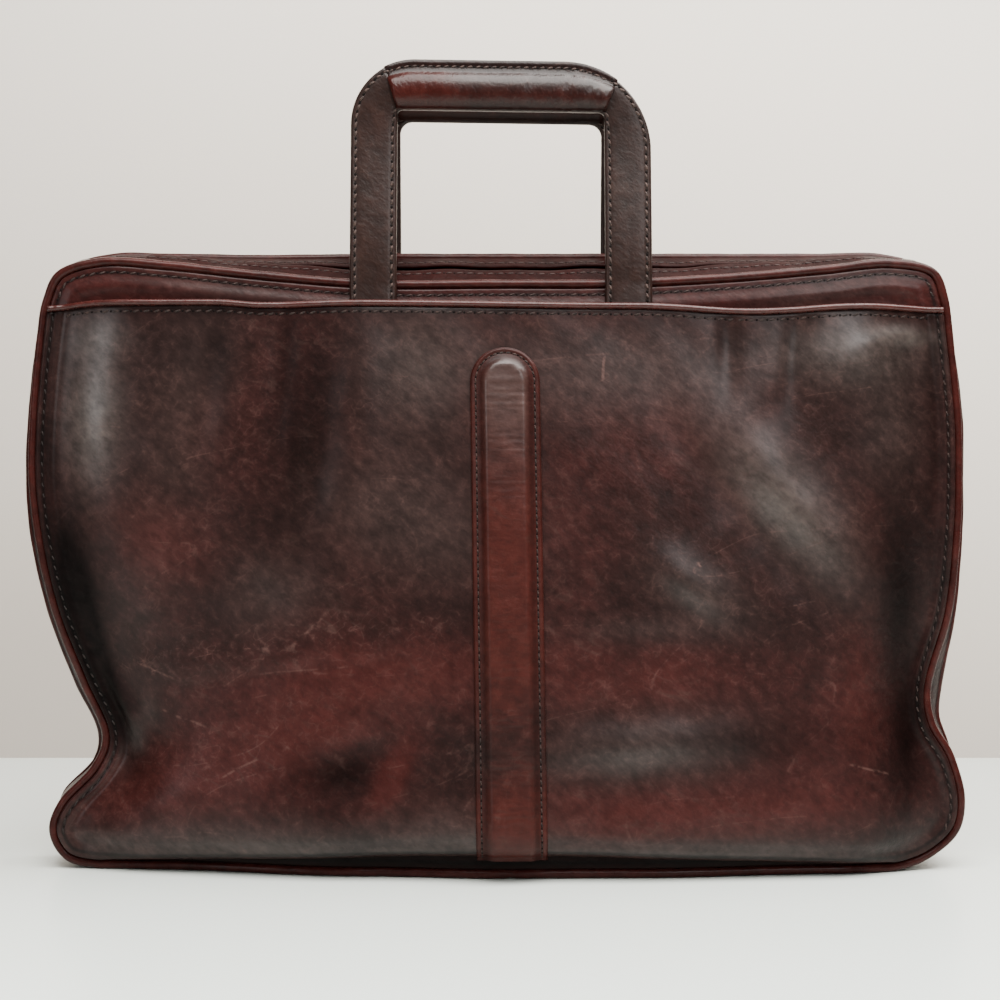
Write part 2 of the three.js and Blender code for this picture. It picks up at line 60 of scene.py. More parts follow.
lens_data.sensor_width = 36
camera = bpy.data.objects.new("camera", lens_data)
camera.location = (0.00235, -0.8644, 0.1674)
camera.rotation_euler = (math.pi / 2, 0, 0)
bpy.context.scene.collection.objects.link(camera)
bpy.context.scene.camera = camera


# Front wall of the main compartment: one panel of case leather, cut to the outline of the piping
# and topstitched 5 mm inside it. Above the pocket it shows as a band, and the mouth shows its inside.
FRONT = -1
BACK = 1
ORIGIN = np.array([0.251, 5.637, 0])
WALL = 2
SEAM_GAP = 0.3
PIPING = 2.1
HALF_LINE = 208.9
LINE_HEIGHT = 279.2
SEAM_INSET = 2.4
TOPSTITCH = 5.0
TOP_DEPTH = 30
BASE_DEPTH = 78

# Anticlockwise from the lower left corner: front across, front up, back across, back up.
OUTLINE = np.array([
    [-0.933, 0.014, -0.95, 0.014],
    [-0.86, 0, -0.86, 0],
    [-0.72, 0, -0.72, 0],
    [-0.52, 0, -0.52, 0],
    [-0.27, 0, -0.27, 0],
    [0, 0, 0, 0],
    [0.27, 0, 0.27, 0],
    [0.52, 0, 0.52, 0],
    [0.72, 0, 0.72, 0],
    [0.86, 0, 0.86, 0],
    [0.943, 0.02, 0.955, 0.02],
    [0.998, 0.058, 1.0, 0.058],
    [1.01, 0.107, 1.02, 0.107],
    [0.988, 0.175, 1.015, 0.175],
    [0.948, 0.229, 0.992, 0.229],
    [0.94, 0.28, 0.998, 0.28],
    [0.985, 0.41, 1.03, 0.41],
    [1.003, 0.547, 1.044, 0.547],
    [1.006, 0.637, 1.045, 0.637],
    [1.004, 0.722, 1.044, 0.722],
    [0.986, 0.86, 1.02, 0.86],
    [0.975, 0.922, 0.99, 0.93],
    [0.952, 0.962, 0.952, 0.98],
    [0.86, 0.977, 0.86, 1],
    [0.72, 0.967, 0.72, 1],
    [0.52, 0.954, 0.52, 1],
    [0.27, 0.944, 0.27, 1],
    [0, 0.943, 0, 1],
    [-0.27, 0.943, -0.27, 1],
    [-0.52, 0.958, -0.52, 0.998],
    [-0.72, 0.974, -0.72, 1],
    [-0.86, 0.979, -0.86, 1],
    [-0.948, 0.958, -0.946, 0.98],
    [-0.975, 0.918, -0.983, 0.93],
    [-0.988, 0.86, -1.022, 0.86],
    [-1.004, 0.722, -1.044, 0.722],
    [-1.006, 0.625, -1.048, 0.625],
    [-0.991, 0.527, -1.037, 0.527],
    [-0.956, 0.41, -1.001, 0.41],
    [-0.898, 0.293, -0.943, 0.293],
    [-0.85, 0.203, -0.887, 0.2],
    [-0.872, 0.156, -0.898, 0.153],
    [-0.943, 0.097, -0.965, 0.097],
    [-0.962, 0.055, -0.975, 0.055],
])
LOWER_RIGHT = 10
UPPER_RIGHT = 22
UPPER_LEFT = 32
ALL_ROUND = 44
BASE_BOW = np.array([[-1, 0], [-0.72, 0.12], [-0.27, 0.76], [0, 1], [0.27, 0.93], [0.72, 0.52], [1, 0.12]])

# Slack of the front leather: across, up, half width, half height, push as a share of the top depth.
FRONT_SLACK = [
    (-0.83, 0.25, 0.13, 0.2, -0.26),
    (0.9, 0.31, 0.1, 0.22, -0.2),
    (-0.55, 0.12, 0.3, 0.14, 0.1),
    (0.6, 0.14, 0.25, 0.16, 0.08),
]


def eased(share):
    held = np.clip(share, 0, 1)
    return held * held * (3 - 2 * held)


def read(table, at):
    """Value of a two-column table, eased from each row to the next."""
    row = np.clip(np.searchsorted(table[:, 0], at, side="right") - 1, 0, len(table) - 2)
    share = (at - table[row, 0]) / (table[row + 1, 0] - table[row, 0])
    return table[row, 1] + (table[row + 1, 1] - table[row, 1]) * eased(share)


def hump(away, wide):
    return np.exp(-((away / wide) ** 2))


def on_outline(side, place):
    knots = OUTLINE[:, :2] if side == FRONT else OUTLINE[:, 2:]
    knots = knots * (HALF_LINE, LINE_HEIGHT) + (0, PIPING)
    row = np.floor(place).astype(int)
    share = (place - row)[..., None]
    before, start, end, after = (knots[(row + step) % ALL_ROUND] for step in (-1, 0, 1, 2))
    first, middle, last = (
        np.linalg.norm(b - a, axis=-1, keepdims=True) ** 0.5
        for a, b in ((before, start), (start, end), (end, after))
    )
    out = ((start - before) / first - (end - before) / (first + middle)) * middle + end - start
    into = end - start + ((after - end) / last - (after - start) / (middle + last)) * middle
    across = end - start
    return start + share * (out + share * (3 * across - 2 * out - into + share * (out + into - 2 * across)))


def outline(side, place, inset=0.0):
    """Points of a panel's outline at places counted in its rows, moved inwards, and the way outwards."""
    place = np.asarray(place, float)
    point = on_outline(side, place)
    point[..., 1] = np.maximum(point[..., 1], PIPING)
    along = on_outline(side, place + 0.004) - on_outline(side, place - 0.004)
    along /= np.linalg.norm(along, axis=-1, keepdims=True)
    outward = np.stack([along[..., 1], -along[..., 0]], -1)
    return point - inset * outward, outward


def panel_depth(side, x, z):
    """Distance of a panel's middle surface from the case's middle plane."""
    across = x / HALF_LINE
    up = np.clip((z - PIPING) / LINE_HEIGHT, 0, 1)
    bow = (BASE_DEPTH - TOP_DEPTH) / 2 * read(BASE_BOW, across) * (1 - up) ** 1.3
    belly = 5 * np.maximum(1 - across**2, 0) * np.sin(math.pi * up)
    depth = TOP_DEPTH / 2 + bow + belly
    if side == FRONT:
        for at_x, at_z, wide, high, push in FRONT_SLACK:
            depth = depth + push * TOP_DEPTH * hump(across - at_x, wide) * hump(up - at_z, high)
    return depth


def spaced(length, fine, coarse, margin):
    """Shares of a length, closer together near both ends."""
    at = np.linspace(0, length, 3000)
    away = np.minimum(at, length - at)
    pace = fine + (coarse - fine) * eased((away - margin) / margin)
    run = np.concatenate([[0], np.cumsum(np.diff(at) / pace[1:])])
    return np.interp(np.linspace(0, run[-1], round(run[-1]) + 1), run, at) / length


def panel_shares(side, start, end, fine, coarse, margin):
    """The same along one edge of a panel, as shares of the rows between two corners."""
    shares = np.linspace(0, 1, 2000)
    points = outline(side, start + (end - start) * shares, SEAM_INSET)[0]
    run = np.concatenate([[0], np.cumsum(np.linalg.norm(np.diff(points, axis=0), axis=1))])
    return np.interp(spaced(run[-1], fine, coarse, margin) * run[-1], run, shares)


def panel_points(side, u, v):
    """x and z of a panel between its four edges. The bends of the sides fade towards the middle."""
    def edge(start, end, share):
        return outline(side, start + (end - start) * np.asarray(share, float), SEAM_INSET)[0]

    def blend(base, top):
        return base * (1 - v[..., None]) + top * v[..., None]

    u, v = u[:, None], v if v.ndim == 2 else v[None, :]
    ends = [(edge(0, LOWER_RIGHT, s), edge(UPPER_LEFT, UPPER_RIGHT, s)) for s in (0.0, 1.0)]
    left = edge(ALL_ROUND, UPPER_LEFT, v) - blend(*ends[0])
    right = edge(LOWER_RIGHT, UPPER_RIGHT, v) - blend(*ends[1])
    flat = blend(edge(0, LOWER_RIGHT, u), edge(UPPER_LEFT, UPPER_RIGHT, u))
    x = flat[..., 0] + left[..., 0] * (1 - u) ** 3 + right[..., 0] * u**3
    z = flat[..., 1] + left[..., 1] * (1 - u) + right[..., 1] * u
    return x, z


def from_seam(side, x, z):
    """Distance from the outline, the piping's middle."""
    line = outline(side, np.arange(0, ALL_ROUND, 0.05))[0]
    flat = np.stack([x.ravel(), z.ravel()], -1)
    parts = np.array_split(flat, 40)
    nearest = [np.sqrt(((part[:, None] - line) ** 2).sum(-1)).min(1) for part in parts]
    return np.concatenate(nearest).reshape(x.shape)


def closed_sheet(near, far, bulge=0.35):
    """Vertices and faces of a sheet between two grids, with its rim rounded over."""
    columns, rows = near.shape[:2]
    at = np.arange(columns * rows).reshape(columns, rows)
    quads = [at[:-1, :-1], at[1:, :-1], at[1:, 1:], at[:-1, 1:]]
    front = np.stack([q.ravel() for q in quads], -1)
    back = front[:, ::-1] + columns * rows
    rim = np.concatenate([at[:-1, 0], at[-1, :-1], at[:0:-1, -1], at[0, :0:-1]])
    inner = np.concatenate([at[:-1, 1], at[-2, :-1], at[:0:-1, -2], at[1, :0:-1]])
    points = np.concatenate([near.reshape(-1, 3), far.reshape(-1, 3)])
    middle = (points[rim] + points[rim + columns * rows]) / 2
    out = points[rim] - points[inner]
    out /= np.linalg.norm(out, axis=1, keepdims=True)
    thick = np.linalg.norm(points[rim] - points[rim + columns * rows], axis=1, keepdims=True)
    middle += out * thick * bulge
    halfway = 2 * columns * rows + np.arange(len(rim))
    turn = np.roll(np.arange(len(rim)), -1)
    upper = np.stack([rim[turn], rim, halfway, halfway[turn]], -1)
    lower = np.stack([halfway[turn], halfway, rim + columns * rows, rim[turn] + columns * rows], -1)
    return np.concatenate([points, middle]), np.concatenate([front, back, upper, lower])


def tube(rings, looped):
    """Vertices and faces of rings of points joined one to the next."""
    count, sides = rings.shape[:2]
    at = np.arange(count * sides).reshape(count, sides)
    following = np.roll(at, -1, axis=0) if looped else at[1:]
    here = at if looped else at[:-1]
    corners = (here, following, np.roll(following, -1, axis=1), np.roll(here, -1, axis=1))
    faces = np.stack([q.ravel() for q in corners], -1)
    points = rings.reshape(-1, 3)
    if looped:
        return points, faces
    ends = rings[[0, -1]].mean(axis=1)
    caps = []
    for ring, middle, flip in ((at[0], len(points), 1), (at[-1], len(points) + 1, -1)):
        pair = np.stack([ring, np.roll(ring, -1)][::flip], -1)
        caps.append(np.column_stack([pair, np.full(sides, middle)]))
    return np.concatenate([points, ends]), [faces, *caps]


def make_piece(name, points, faces, finish, slot, nodes=(), marks=None):
    """Mesh object from points in millimetres, turned faces outwards, that stands for CAD nodes."""
    groups = faces if isinstance(faces, list) else [faces]
    flow = 0
    for group in groups:
        for second, third in ((1, 2), (2, 3))[: group.shape[1] - 2]:
            a, b, c = points[group[:, 0]], points[group[:, second]], points[group[:, third]]
            flow += (np.cross(a, b) * c).sum()
    if flow < 0:
        groups = [group[:, ::-1] for group in groups]
    mesh = bpy.data.meshes.new(name)
    mesh.from_pydata(((points + ORIGIN) / 1000).tolist(), [], [f for g in groups for f in g.tolist()])
    for mark, values in (marks or {}).items():
        layer = mesh.attributes.new(mark, "FLOAT", "POINT")
        layer.data.foreach_set("value", np.asarray(values, np.float32).ravel())
    mesh.shade_smooth()
    mesh.materials.append(finish)
    made = bpy.data.objects.new(name, mesh)
    bpy.context.scene.collection.objects.link(made)
    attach(made, "root")
    if nodes:
        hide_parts(*nodes)
    return made


class Wire:
    """A shader socket. Sums on it are written as expressions and add their Math nodes."""

    def __init__(self, tree, socket=None):
        self.tree = tree
        self.socket = socket

    def node(self, kind, settings=None, inputs=None, output=0):
        made = self.tree.nodes.new(kind)
        for name, value in (settings or {}).items():
            setattr(made, name, value)
        for name, value in (inputs or {}).items():
            if isinstance(value, Wire):
                self.tree.links.new(value.socket, made.inputs[name])
            else:
                made.inputs[name].default_value = value
        return Wire(self.tree, made.outputs[output] if made.outputs else None)

    def math(self, operation, *values, clamp=False):
        settings = {"operation": operation, "use_clamp": clamp}
        return self.node("ShaderNodeMath", settings, dict(enumerate(values)))

    def __add__(self, other):
        return self.math("ADD", self, other)

    def __sub__(self, other):
        return self.math("SUBTRACT", self, other)

    def __mul__(self, other):
        return self.math("MULTIPLY", self, other)

    def __radd__(self, other):
        return self.math("ADD", other, self)

    def __rsub__(self, other):
        return self.math("SUBTRACT", other, self)

    def __rmul__(self, other):
        return self.math("MULTIPLY", other, self)

    def held(self):
        """Kept between 0 and 1."""
        return self.math("ADD", self, 0.0, clamp=True)

    def between(self, low, high):
        """0 below low, 1 above high, eased between."""
        settings = {"interpolation_type": "SMOOTHSTEP"}
        return self.node("ShaderNodeMapRange", settings, {"Value": self, "From Min": low, "From Max": high})

    def noise(self, scale, detail, roughness, long=(1, 1, 1), turn=0.0, shift=0.0):
        """Noise that may be drawn out along its axes, after a turn about the depth axis."""
        inputs = {"Vector": self, "Scale": long, "Rotation": (0, turn, 0), "Location": (shift,) * 3}
        where = self.node("ShaderNodeMapping", {"vector_type": "TEXTURE"}, inputs)
        inputs = {"Vector": where, "Scale": scale, "Detail": detail, "Roughness": roughness}
        return self.node("ShaderNodeTexNoise", None, inputs)

    def line(self, wide):
        """1 along the thin lines where a noise crosses its middle, 0 away from them."""
        return 1 - (self - 0.5).size().between(0.0, wide)

    def size(self):
        return self.math("ABSOLUTE", self)

    def parts(self):
        """Across, outward and up of a vector."""
        lie = self.node("ShaderNodeSeparateXYZ", None, {0: self}).socket.node
        return [Wire(self.tree, socket) for socket in lie.outputs]

    def mix(self, first, second):
        """Colour between two colours, by this share."""
        first, second = ((*c, 1) if isinstance(c, tuple) else c for c in (first, second))
        return self.node("ShaderNodeMix", {"data_type": "RGBA"}, {0: self, 6: first, 7: second}, 2)


def new_finish(name):
    """An empty material, and the start of its wiring."""
    material = bpy.data.materials.new(name)
    material.use_nodes = True
    material.node_tree.nodes.clear()
    return material, Wire(material.node_tree)


def leather_finish(
    name, dark, red, rubbed, roughness=0.31, grain=1.0, redness=None, scuff=1.0, lean=0.7, shine=1.24,
    coat=0.07, scratches=()
):
    """Worn full-grain leather: dark dye over red, fine creases, specks where the grain is rubbed.

    Without a redness of its own it reads how red and how rubbed the piece is at each point, where shade is
    painted dark (with a stain or two), and where sheens are painted grey.
    """
    material, start = new_finish(name)
    place = start.node("ShaderNodeTexCoord", None, None, 3)
    marked = redness is None
    cloud = place.noise(22, 2, 0.6)
    mottle = place.noise(120, 3, 0.7, shift=3.1)
    speck = place.noise(700, 1, 0.6, shift=1.7)
    stroke = place.noise(330, 2, 0.65, long=(2.0, 1, 1), turn=lean, shift=0.6)
    hatch = place.noise(210, 1, 0.6, long=(1.7, 1, 1), turn=lean - 1.5, shift=2.2).line(0.03)
    hatch = hatch * mottle.between(0.4, 0.6)
    crease = place.noise(70, 2, 0.5, long=(3.4, 1, 1), turn=lean * 0.5, shift=7.3).line(0.02)
    crease = crease * cloud.between(0.4, 0.6) * mottle.between(0.42, 0.58)
    scratch = place.noise(24, 1, 0.45, long=(3.2, 1, 1), turn=-0.3, shift=4.4).line(0.004)
    scratch = scratch * mottle.between(0.45, 0.6)
    patch, wear = redness, 0.35
    if marked:
        patch, gloom, bloom, wear, seam = (
            start.node("ShaderNodeAttribute", {"attribute_name": mark}, None, 2)
            for mark in ("redness", "gloom", "bloom", "wear", "seam")
        )
        bloom = (bloom * (0.4 + cloud * 0.8 + (mottle - 0.5) * 0.6)).held()
        gloom = (gloom * (0.8 + mottle * 0.4)).held()

    share = patch + (cloud - 0.5) * 0.5 + (mottle - 0.5) * 0.4 + (stroke - 0.5) * 0.2
    ink = share.between(0.1, 0.95).mix(dark, red)
    if marked:
        # Painted sheen: grey mixed into the colour by the sheen marks.
        ink = (bloom * (0.6 + stroke * 0.6)).held().mix(ink, PAINTED_SHEEN_GREY)
    rub = scratch * 0.35 + crease * 0.3 + hatch * 0.2
    rub = rub + stroke.between(0.58, 0.72) * 0.14 + speck.between(0.6, 0.74) * 0.12
    rub = rub * (wear * scuff)
    across, _, up = place.parts()
    waver = (cloud - 0.5) * 0.006 + (mottle - 0.5) * 0.001
    broken = mottle.between(0.36, 0.5) * stroke.between(0.3, 0.55)
    for x0, z0, x1, z1, wide, pale in scratches:
        length = math.hypot(x1 - x0, z1 - z0)
        way_x, way_z, half = (x1 - x0) / length, (z1 - z0) / length, length / 2000
        from_x, from_z = across - (x0 + ORIGIN[0]) / 1000, up - z0 / 1000
        aside = from_z * way_x - from_x * way_z + waver
        thin = 1 - aside.size().between(wide * 0.0003, wide * 0.001)
        along = (from_x * way_x + from_z * way_z - half).size()
        rub = rub + thin * (1 - along.between(half - 0.002, half)) * (broken * pale)
    ink = rub.held().mix(ink, rubbed)
    # Tone: random mottling, with painted shade along the creases.
    shade = (mottle.between(0.2, 0.8) * 0.3 + 0.8) * (stroke.between(0.3, 0.6) * 0.2 + 0.86)
    shade = shade * (1 - crease * 0.25)
    if marked:
        # Painted shade along the groove of the topstitch row, and where the shade marks are.
        groove = (seam - TOPSTITCH / 1000).size().between(0.0002, 0.0014)
        shade = shade * (1 - gloom * 0.85).held() * (0.35 + groove * 0.65)
    tone = shade.node("ShaderNodeCombineColor", None, {0: shade, 1: shade, 2: shade})
    multiply = {"data_type": "RGBA", "blend_type": "MULTIPLY"}
    ink = ink.node("ShaderNodeMix", multiply, {0: 1.0, 6: ink, 7: tone}, 2)

    height = stroke * (0.7 * grain) + speck * (0.22 * grain) + mottle * 0.7
    relief = {"Strength": 0.75, "Distance": 0.0005, "Height": height}
    gloss = roughness + (mottle - 0.5) * 0.12 + rub * 0.15 + (0.5 - stroke) * 0.12
    if marked:
        gloss = gloss + gloom * 0.1 + bloom * 0.2
        coat = (bloom * (0.5 + stroke * 0.9) + 0.12 - gloom * 0.15).held()
    surface = {
        "Base Color": ink,
        "Roughness": gloss,
        "Normal": height.node("ShaderNodeBump", None, relief),
        "IOR": shine,
        "Coat Weight": coat,
        "Coat Roughness": 0.3,
    }
    surface = start.node("ShaderNodeBsdfPrincipled", None, surface)
    start.node("ShaderNodeOutputMaterial", None, {"Surface": surface})
    return material


DARK = (0.0088, 0.0036, 0.0034)
RED = (0.031, 0.0066, 0.0058)
RUBBED = (0.08, 0.041, 0.035)
# The last colour is the grey of the painted sheens.
PAINTED_SHEEN_GREY = (0.038, 0.0295, 0.026)

wall_leather = leather_finish("wall_leather", DARK, RED, RUBBED, shine=1.15)


def wall_points(side):
    """A wall's two faces. Along the top its leather rolls over the padding of the seam."""
    u = panel_shares(side, 0, LOWER_RIGHT, 1.2, 3.6, 12)
    v = panel_shares(side, LOWER_RIGHT, UPPER_RIGHT, 1.0, 3.2, 14)
    x, z = panel_points(side, u, v)
    seam = from_seam(side, x, z)
    swell = 0.9 * hump(seam - 10.5, 3.4) * eased((z - 225) / 25)
    faces = []
    for thick in (WALL / 2, -WALL / 2):
        y = side * (panel_depth(side, x, z) + thick + swell)
        faces.append(np.stack([x, y, z], -1))
    return faces, seam


def patches(x, z, rows):
    """Sum of soft patches: across, up, half length, half width, turn in degrees, strength."""
    total = np.zeros_like(x)
    for at_x, at_z, long, wide, turn, strength in rows:
        angle = math.radians(turn)
        along = (x - at_x) * math.cos(angle) + (z - at_z) * math.sin(angle)
        aside = (z - at_z) * math.cos(angle) - (x - at_x) * math.sin(angle)
        total += strength * hump(along, long) * hump(aside, wide)
    return total


def make_marked_sheet(name, near, far, finish, slot, nodes, marks, bulge=0.35):
    """A closed sheet that carries the marks of its grid on both faces, and their mean on its rim."""
    points, faces = closed_sheet(near, far, bulge)
    spread = {}
    for mark, values in marks.items():
        flat = values.ravel()
        spread[mark] = np.concatenate([flat, flat, np.full(len(points) - 2 * len(flat), flat.mean())])
    return make_piece(name, points, faces, finish, slot, nodes, spread)


# Grey sheens are painted on the leather beside the pocket's mouth, and under the pocket it is painted dark
# as shade.
WALL_PAINTED_SHEEN = [(-120, 262, 40, 5, -8, 0.3), (150, 262, 40, 8, 12, 0.25)]
(outer, inner), seam = wall_points(FRONT)
x, z = outer[..., 0], outer[..., 2]
wall_marks = {
    "redness": 0.62 + 0 * x,
    "gloom": 0.95 * (1 - eased((z - 16) / 8)),
    "bloom": patches(x, z, WALL_PAINTED_SHEEN),
    "wear": 0.5 + 0 * x,
    "seam": seam / 1000,
}
make_marked_sheet("front_panel", outer, inner, wall_leather, "leather", ["front_wall"], wall_marks)


# Stitches: waxed thread, sewn by machine. Each lies slanted across its row, with both ends pulled down into
# holes, drawn as dark beads of painted shade.
def thread_finish(name, dark, pale):
    material, spun = new_finish(name)
    lay = spun.node("ShaderNodeTexCoord", None, None, 3)
    tint = lay.noise(900, 2, 0.5).between(0.35, 0.7).mix(dark, pale)
    ply = lay.node("ShaderNodeTexWave", {"bands_direction": "DIAGONAL"}, {"Vector": lay, "Scale": 900.0}, 1)
    ply = ply.node("ShaderNodeBump", None, {"Strength": 0.4, "Distance": 0.0002, "Height": ply})
    inputs = {"Base Color": tint, "Roughness": 0.6, "Normal": ply, "IOR": 1.3}
    twist = spun.node("ShaderNodeBsdfPrincipled", None, inputs)
    spun.node("ShaderNodeOutputMaterial", None, {"Surface": twist})
    return material


body_thread = thread_finish("waxed_thread", (0.007, 0.0036, 0.003), (0.03, 0.016, 0.013))
# A darker copy of the waxed thread, painted dark as shade for the row in the pocket's shaded left side.
shaded_thread = thread_finish("shaded_thread", (0.004, 0.0022, 0.0018), (0.013, 0.007, 0.0058))
handle_thread = thread_finish("handle_thread", (0.012, 0.0065, 0.0052), (0.052, 0.031, 0.025))

# Stitch holes: near-black beads that stand for the shade in each hole.
hole_dark, pit = new_finish("stitch_hole")
hole_shade = pit.node("ShaderNodeTexCoord", None, None, 3).noise(700, 1, 0.5)
hole_shade = hole_shade.mix((0.0022, 0.0014, 0.0012), (0.005, 0.0032, 0.0028))
hole_shade = pit.node("ShaderNodeBsdfPrincipled", None, {"Base Color": hole_shade, "Roughness": 0.9, "IOR": 1.2})
pit.node("ShaderNodeOutputMaterial", None, {"Surface": hole_shade})

sewing = bpy.data.node_groups.new("stitch_row", "GeometryNodeTree")
STITCH_INPUTS = {
    "Geometry": "Geometry", "Pitch": "Float", "Length": "Float", "Width": "Float", "Slant": "Float",
    "Seed": "Int", "Thread": "Material", "Hole": "Material",
}
socket_names = {}
for label, kind in STITCH_INPUTS.items():
    socket = sewing.interface.new_socket(label, in_out="INPUT", socket_type="NodeSocket" + kind)
    socket_names[label] = socket.identifier
sewing.interface.new_socket("Geometry", in_out="OUTPUT", socket_type="NodeSocketGeometry")
given = sewing.nodes.new("NodeGroupInput").outputs


def stitch_node(kind, settings=None, inputs=None, output=0):
    """A node of the stitch tree, by the socket that it gives."""
    made = sewing.nodes.new(kind)
    for name, value in (settings or {}).items():
        setattr(made, name, value)
    for name, value in (inputs or {}).items():
        if isinstance(value, bpy.types.NodeSocket):
            sewing.links.new(value, made.inputs[name])
        else:
            made.inputs[name].default_value = value
    return made.outputs[output]


path = stitch_node("GeometryNodeMeshToCurve", None, {"Mesh": given["Geometry"]})
row = stitch_node("GeometryNodeResampleCurve", {"mode": "LENGTH"}, {0: path, "Length": given["Pitch"]})
vectors = {"data_type": "FLOAT_VECTOR"}
lift = stitch_node("GeometryNodeInputNamedAttribute", vectors, {"Name": "lift"}, "Attribute")
along = stitch_node("GeometryNodeInputTangent")
axes = {"primary_axis": "Z", "secondary_axis": "X"}
upright = stitch_node("FunctionNodeAxesToRotation", axes, {"Primary Axis": lift, "Secondary Axis": along})
loose = {2: -0.07, 3: 0.07, "Seed": given["Seed"]}
loose = stitch_node("FunctionNodeRandomValue", {"data_type": "FLOAT"}, loose, 1)
lean = stitch_node("ShaderNodeMath", {"operation": "ADD"}, {0: given["Slant"], 1: loose})
lean = stitch_node("ShaderNodeCombineXYZ", None, {"Z": lean})
lean = stitch_node("FunctionNodeEulerToRotation", None, {0: lean})
turned = stitch_node("FunctionNodeRotateRotation", {"rotation_space": "LOCAL"}, {0: upright, 1: lean})


def sown(points, bead, size, material):
    """The same bead on every point, turned along the row."""
    bead = stitch_node("GeometryNodeMeshUVSphere", None, bead)
    bead = stitch_node("GeometryNodeTransform", None, {"Geometry": bead, "Scale": size})
    inputs = {"Points": points, "Instance": bead, "Rotation": turned}
    beads = stitch_node("GeometryNodeInstanceOnPoints", None, inputs)
    beads = stitch_node("GeometryNodeRealizeInstances", None, {0: beads})
    return stitch_node("GeometryNodeSetMaterial", None, {0: beads, "Material": material})


long_way = {"X": given["Length"], "Y": given["Width"], "Z": given["Width"]}
long_way = stitch_node("ShaderNodeCombineXYZ", None, long_way)
stitches = sown(row, {"Segments": 8, "Rings": 5, "Radius": 0.5}, long_way, given["Thread"])
half_pitch = stitch_node("ShaderNodeMath", {"operation": "MULTIPLY"}, {0: given["Pitch"], 1: 0.5})
ahead = stitch_node("ShaderNodeVectorMath", {"operation": "SCALE"}, {0: along, "Scale": half_pitch})
gaps = stitch_node("GeometryNodeSetPosition", None, {0: row, "Offset": ahead})
pit_size = {0: (1.0, 0.95, 0.55), "Scale": given["Width"]}
pit_size = stitch_node("ShaderNodeVectorMath", {"operation": "SCALE"}, pit_size)
pits = sown(gaps, {"Segments": 8, "Rings": 4, "Radius": 0.62}, pit_size, given["Hole"])
both = sewing.nodes.new("GeometryNodeJoinGeometry")
sewing.links.new(pits, both.inputs[0])
sewing.links.new(stitches, both.inputs[0])
sewing.links.new(both.outputs[0], sewing.nodes.new("NodeGroupOutput").inputs[0])


def sew(name, rows, pitch=4.65, length=3.3, width=1.05, slant=0.28, sink=0.1, thread=body_thread):
    """Stitches along rows of points in millimetres. Each row is its points and the ways off the leather."""
    points = np.concatenate([p - l * sink for p, l in rows])
    mesh = bpy.data.meshes.new(name)
    edges = []
    start = 0
    for line, _ in rows:
        edges += [(start + k, start + k + 1) for k in range(len(line) - 1)]
        start += len(line)
    mesh.from_pydata(((points + ORIGIN) / 1000).tolist(), edges, [])
    layer = mesh.attributes.new("lift", "FLOAT_VECTOR", "POINT")
    layer.data.foreach_set("vector", np.concatenate([l for _, l in rows]).astype(np.float32).ravel())
    made = bpy.data.objects.new(name, mesh)
    bpy.context.scene.collection.objects.link(made)
    modifier = made.modifiers.new("stitch_row", "NODES")
    modifier.node_group = sewing
    settings = {
        "Pitch": pitch / 1000, "Length": length / 1000, "Width": width / 1000, "Slant": slant,
        "Seed": 7, "Thread": thread, "Hole": hole_dark,
    }
    for label, value in settings.items():
        modifier[socket_names[label]] = value
    bpy.context.view_layer.update()
    depsgraph = bpy.context.evaluated_depsgraph_get()
    plain = bpy.data.meshes.new_from_object(made.evaluated_get(depsgraph))
    made.modifiers.clear()
    made.data = plain
    plain.shade_smooth()
    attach(made, "root")
    return made


def off_surface(depth_at, x, z, side):
    """Points of a face given by its depth, and the ways off it."""
    step = 0.5
    slope_x = (depth_at(x + step, z) - depth_at(x - step, z)) / (2 * step)
    slope_z = (depth_at(x, z + step) - depth_at(x, z - step)) / (2 * step)
    lift = np.stack([-slope_x, np.full_like(x, side), -slope_z], -1)
    lift /= np.linalg.norm(lift, axis=1, keepdims=True)
    return np.stack([x, side * depth_at(x, z), z], -1), lift


def sew_wall(name, side, start, end):
    """The row inside a wall's edge, between two places on its outline."""
    def face(x, z):
        return panel_depth(side, x, z) + WALL / 2

    line = outline(side, np.arange(start, end, 0.1), TOPSTITCH)[0]
    sew(name, [off_surface(face, line[:, 0], line[:, 1], side)])


sew_wall("front_wall_stitches", FRONT, 21.2, 32.8)


# Back wall: one panel of the same leather, plain. It is sewn to the gusset all round, with its own
# piping in the seam, and topstitched inside it.
back_leather = leather_finish("back_leather", DARK, RED, RUBBED, redness=0.5)
(outer, inner), _ = wall_points(BACK)
make_piece("back_panel", *closed_sheet(outer, inner), back_leather, "leather", ["back_wall"])
sew_wall("back_wall_stitches", BACK, 0, ALL_ROUND + 0.05)


# Gusset: one long strip of leather that joins the two walls. It runs down one side, under the base
# and up the other side, and folds inwards between the walls.
SIDE_FOLD = 9
PAST_CORNER = 0.5
GUSSET_START = UPPER_LEFT - ALL_ROUND - PAST_CORNER
GUSSET_END = UPPER_RIGHT + PAST_CORNER

gusset_leather = leather_finish(
    "gusset_leather", (0.009, 0.005, 0.0045), (0.025, 0.007, 0.0055), RUBBED, redness=0.35
)


def piping_line(side, place):
    point, outward = outline(side, place)
    x, z = point[..., 0], point[..., 1]
    return np.stack([x, side * panel_depth(side, x, z), z], -1), outward


def bridge(place):
    """Front end, length and direction of the line from the front piping to the back piping."""
    front, out_front = piping_line(FRONT, place)
    back, out_back = piping_line(BACK, place)
    span = back - front
    length = np.linalg.norm(span, axis=-1, keepdims=True)
    outward = out_front + out_back
    outward /= np.linalg.norm(outward, axis=-1, keepdims=True)
    outward = np.stack([outward[..., 0], np.zeros(len(place)), outward[..., 1]], -1)
    return front, length, span / length, outward


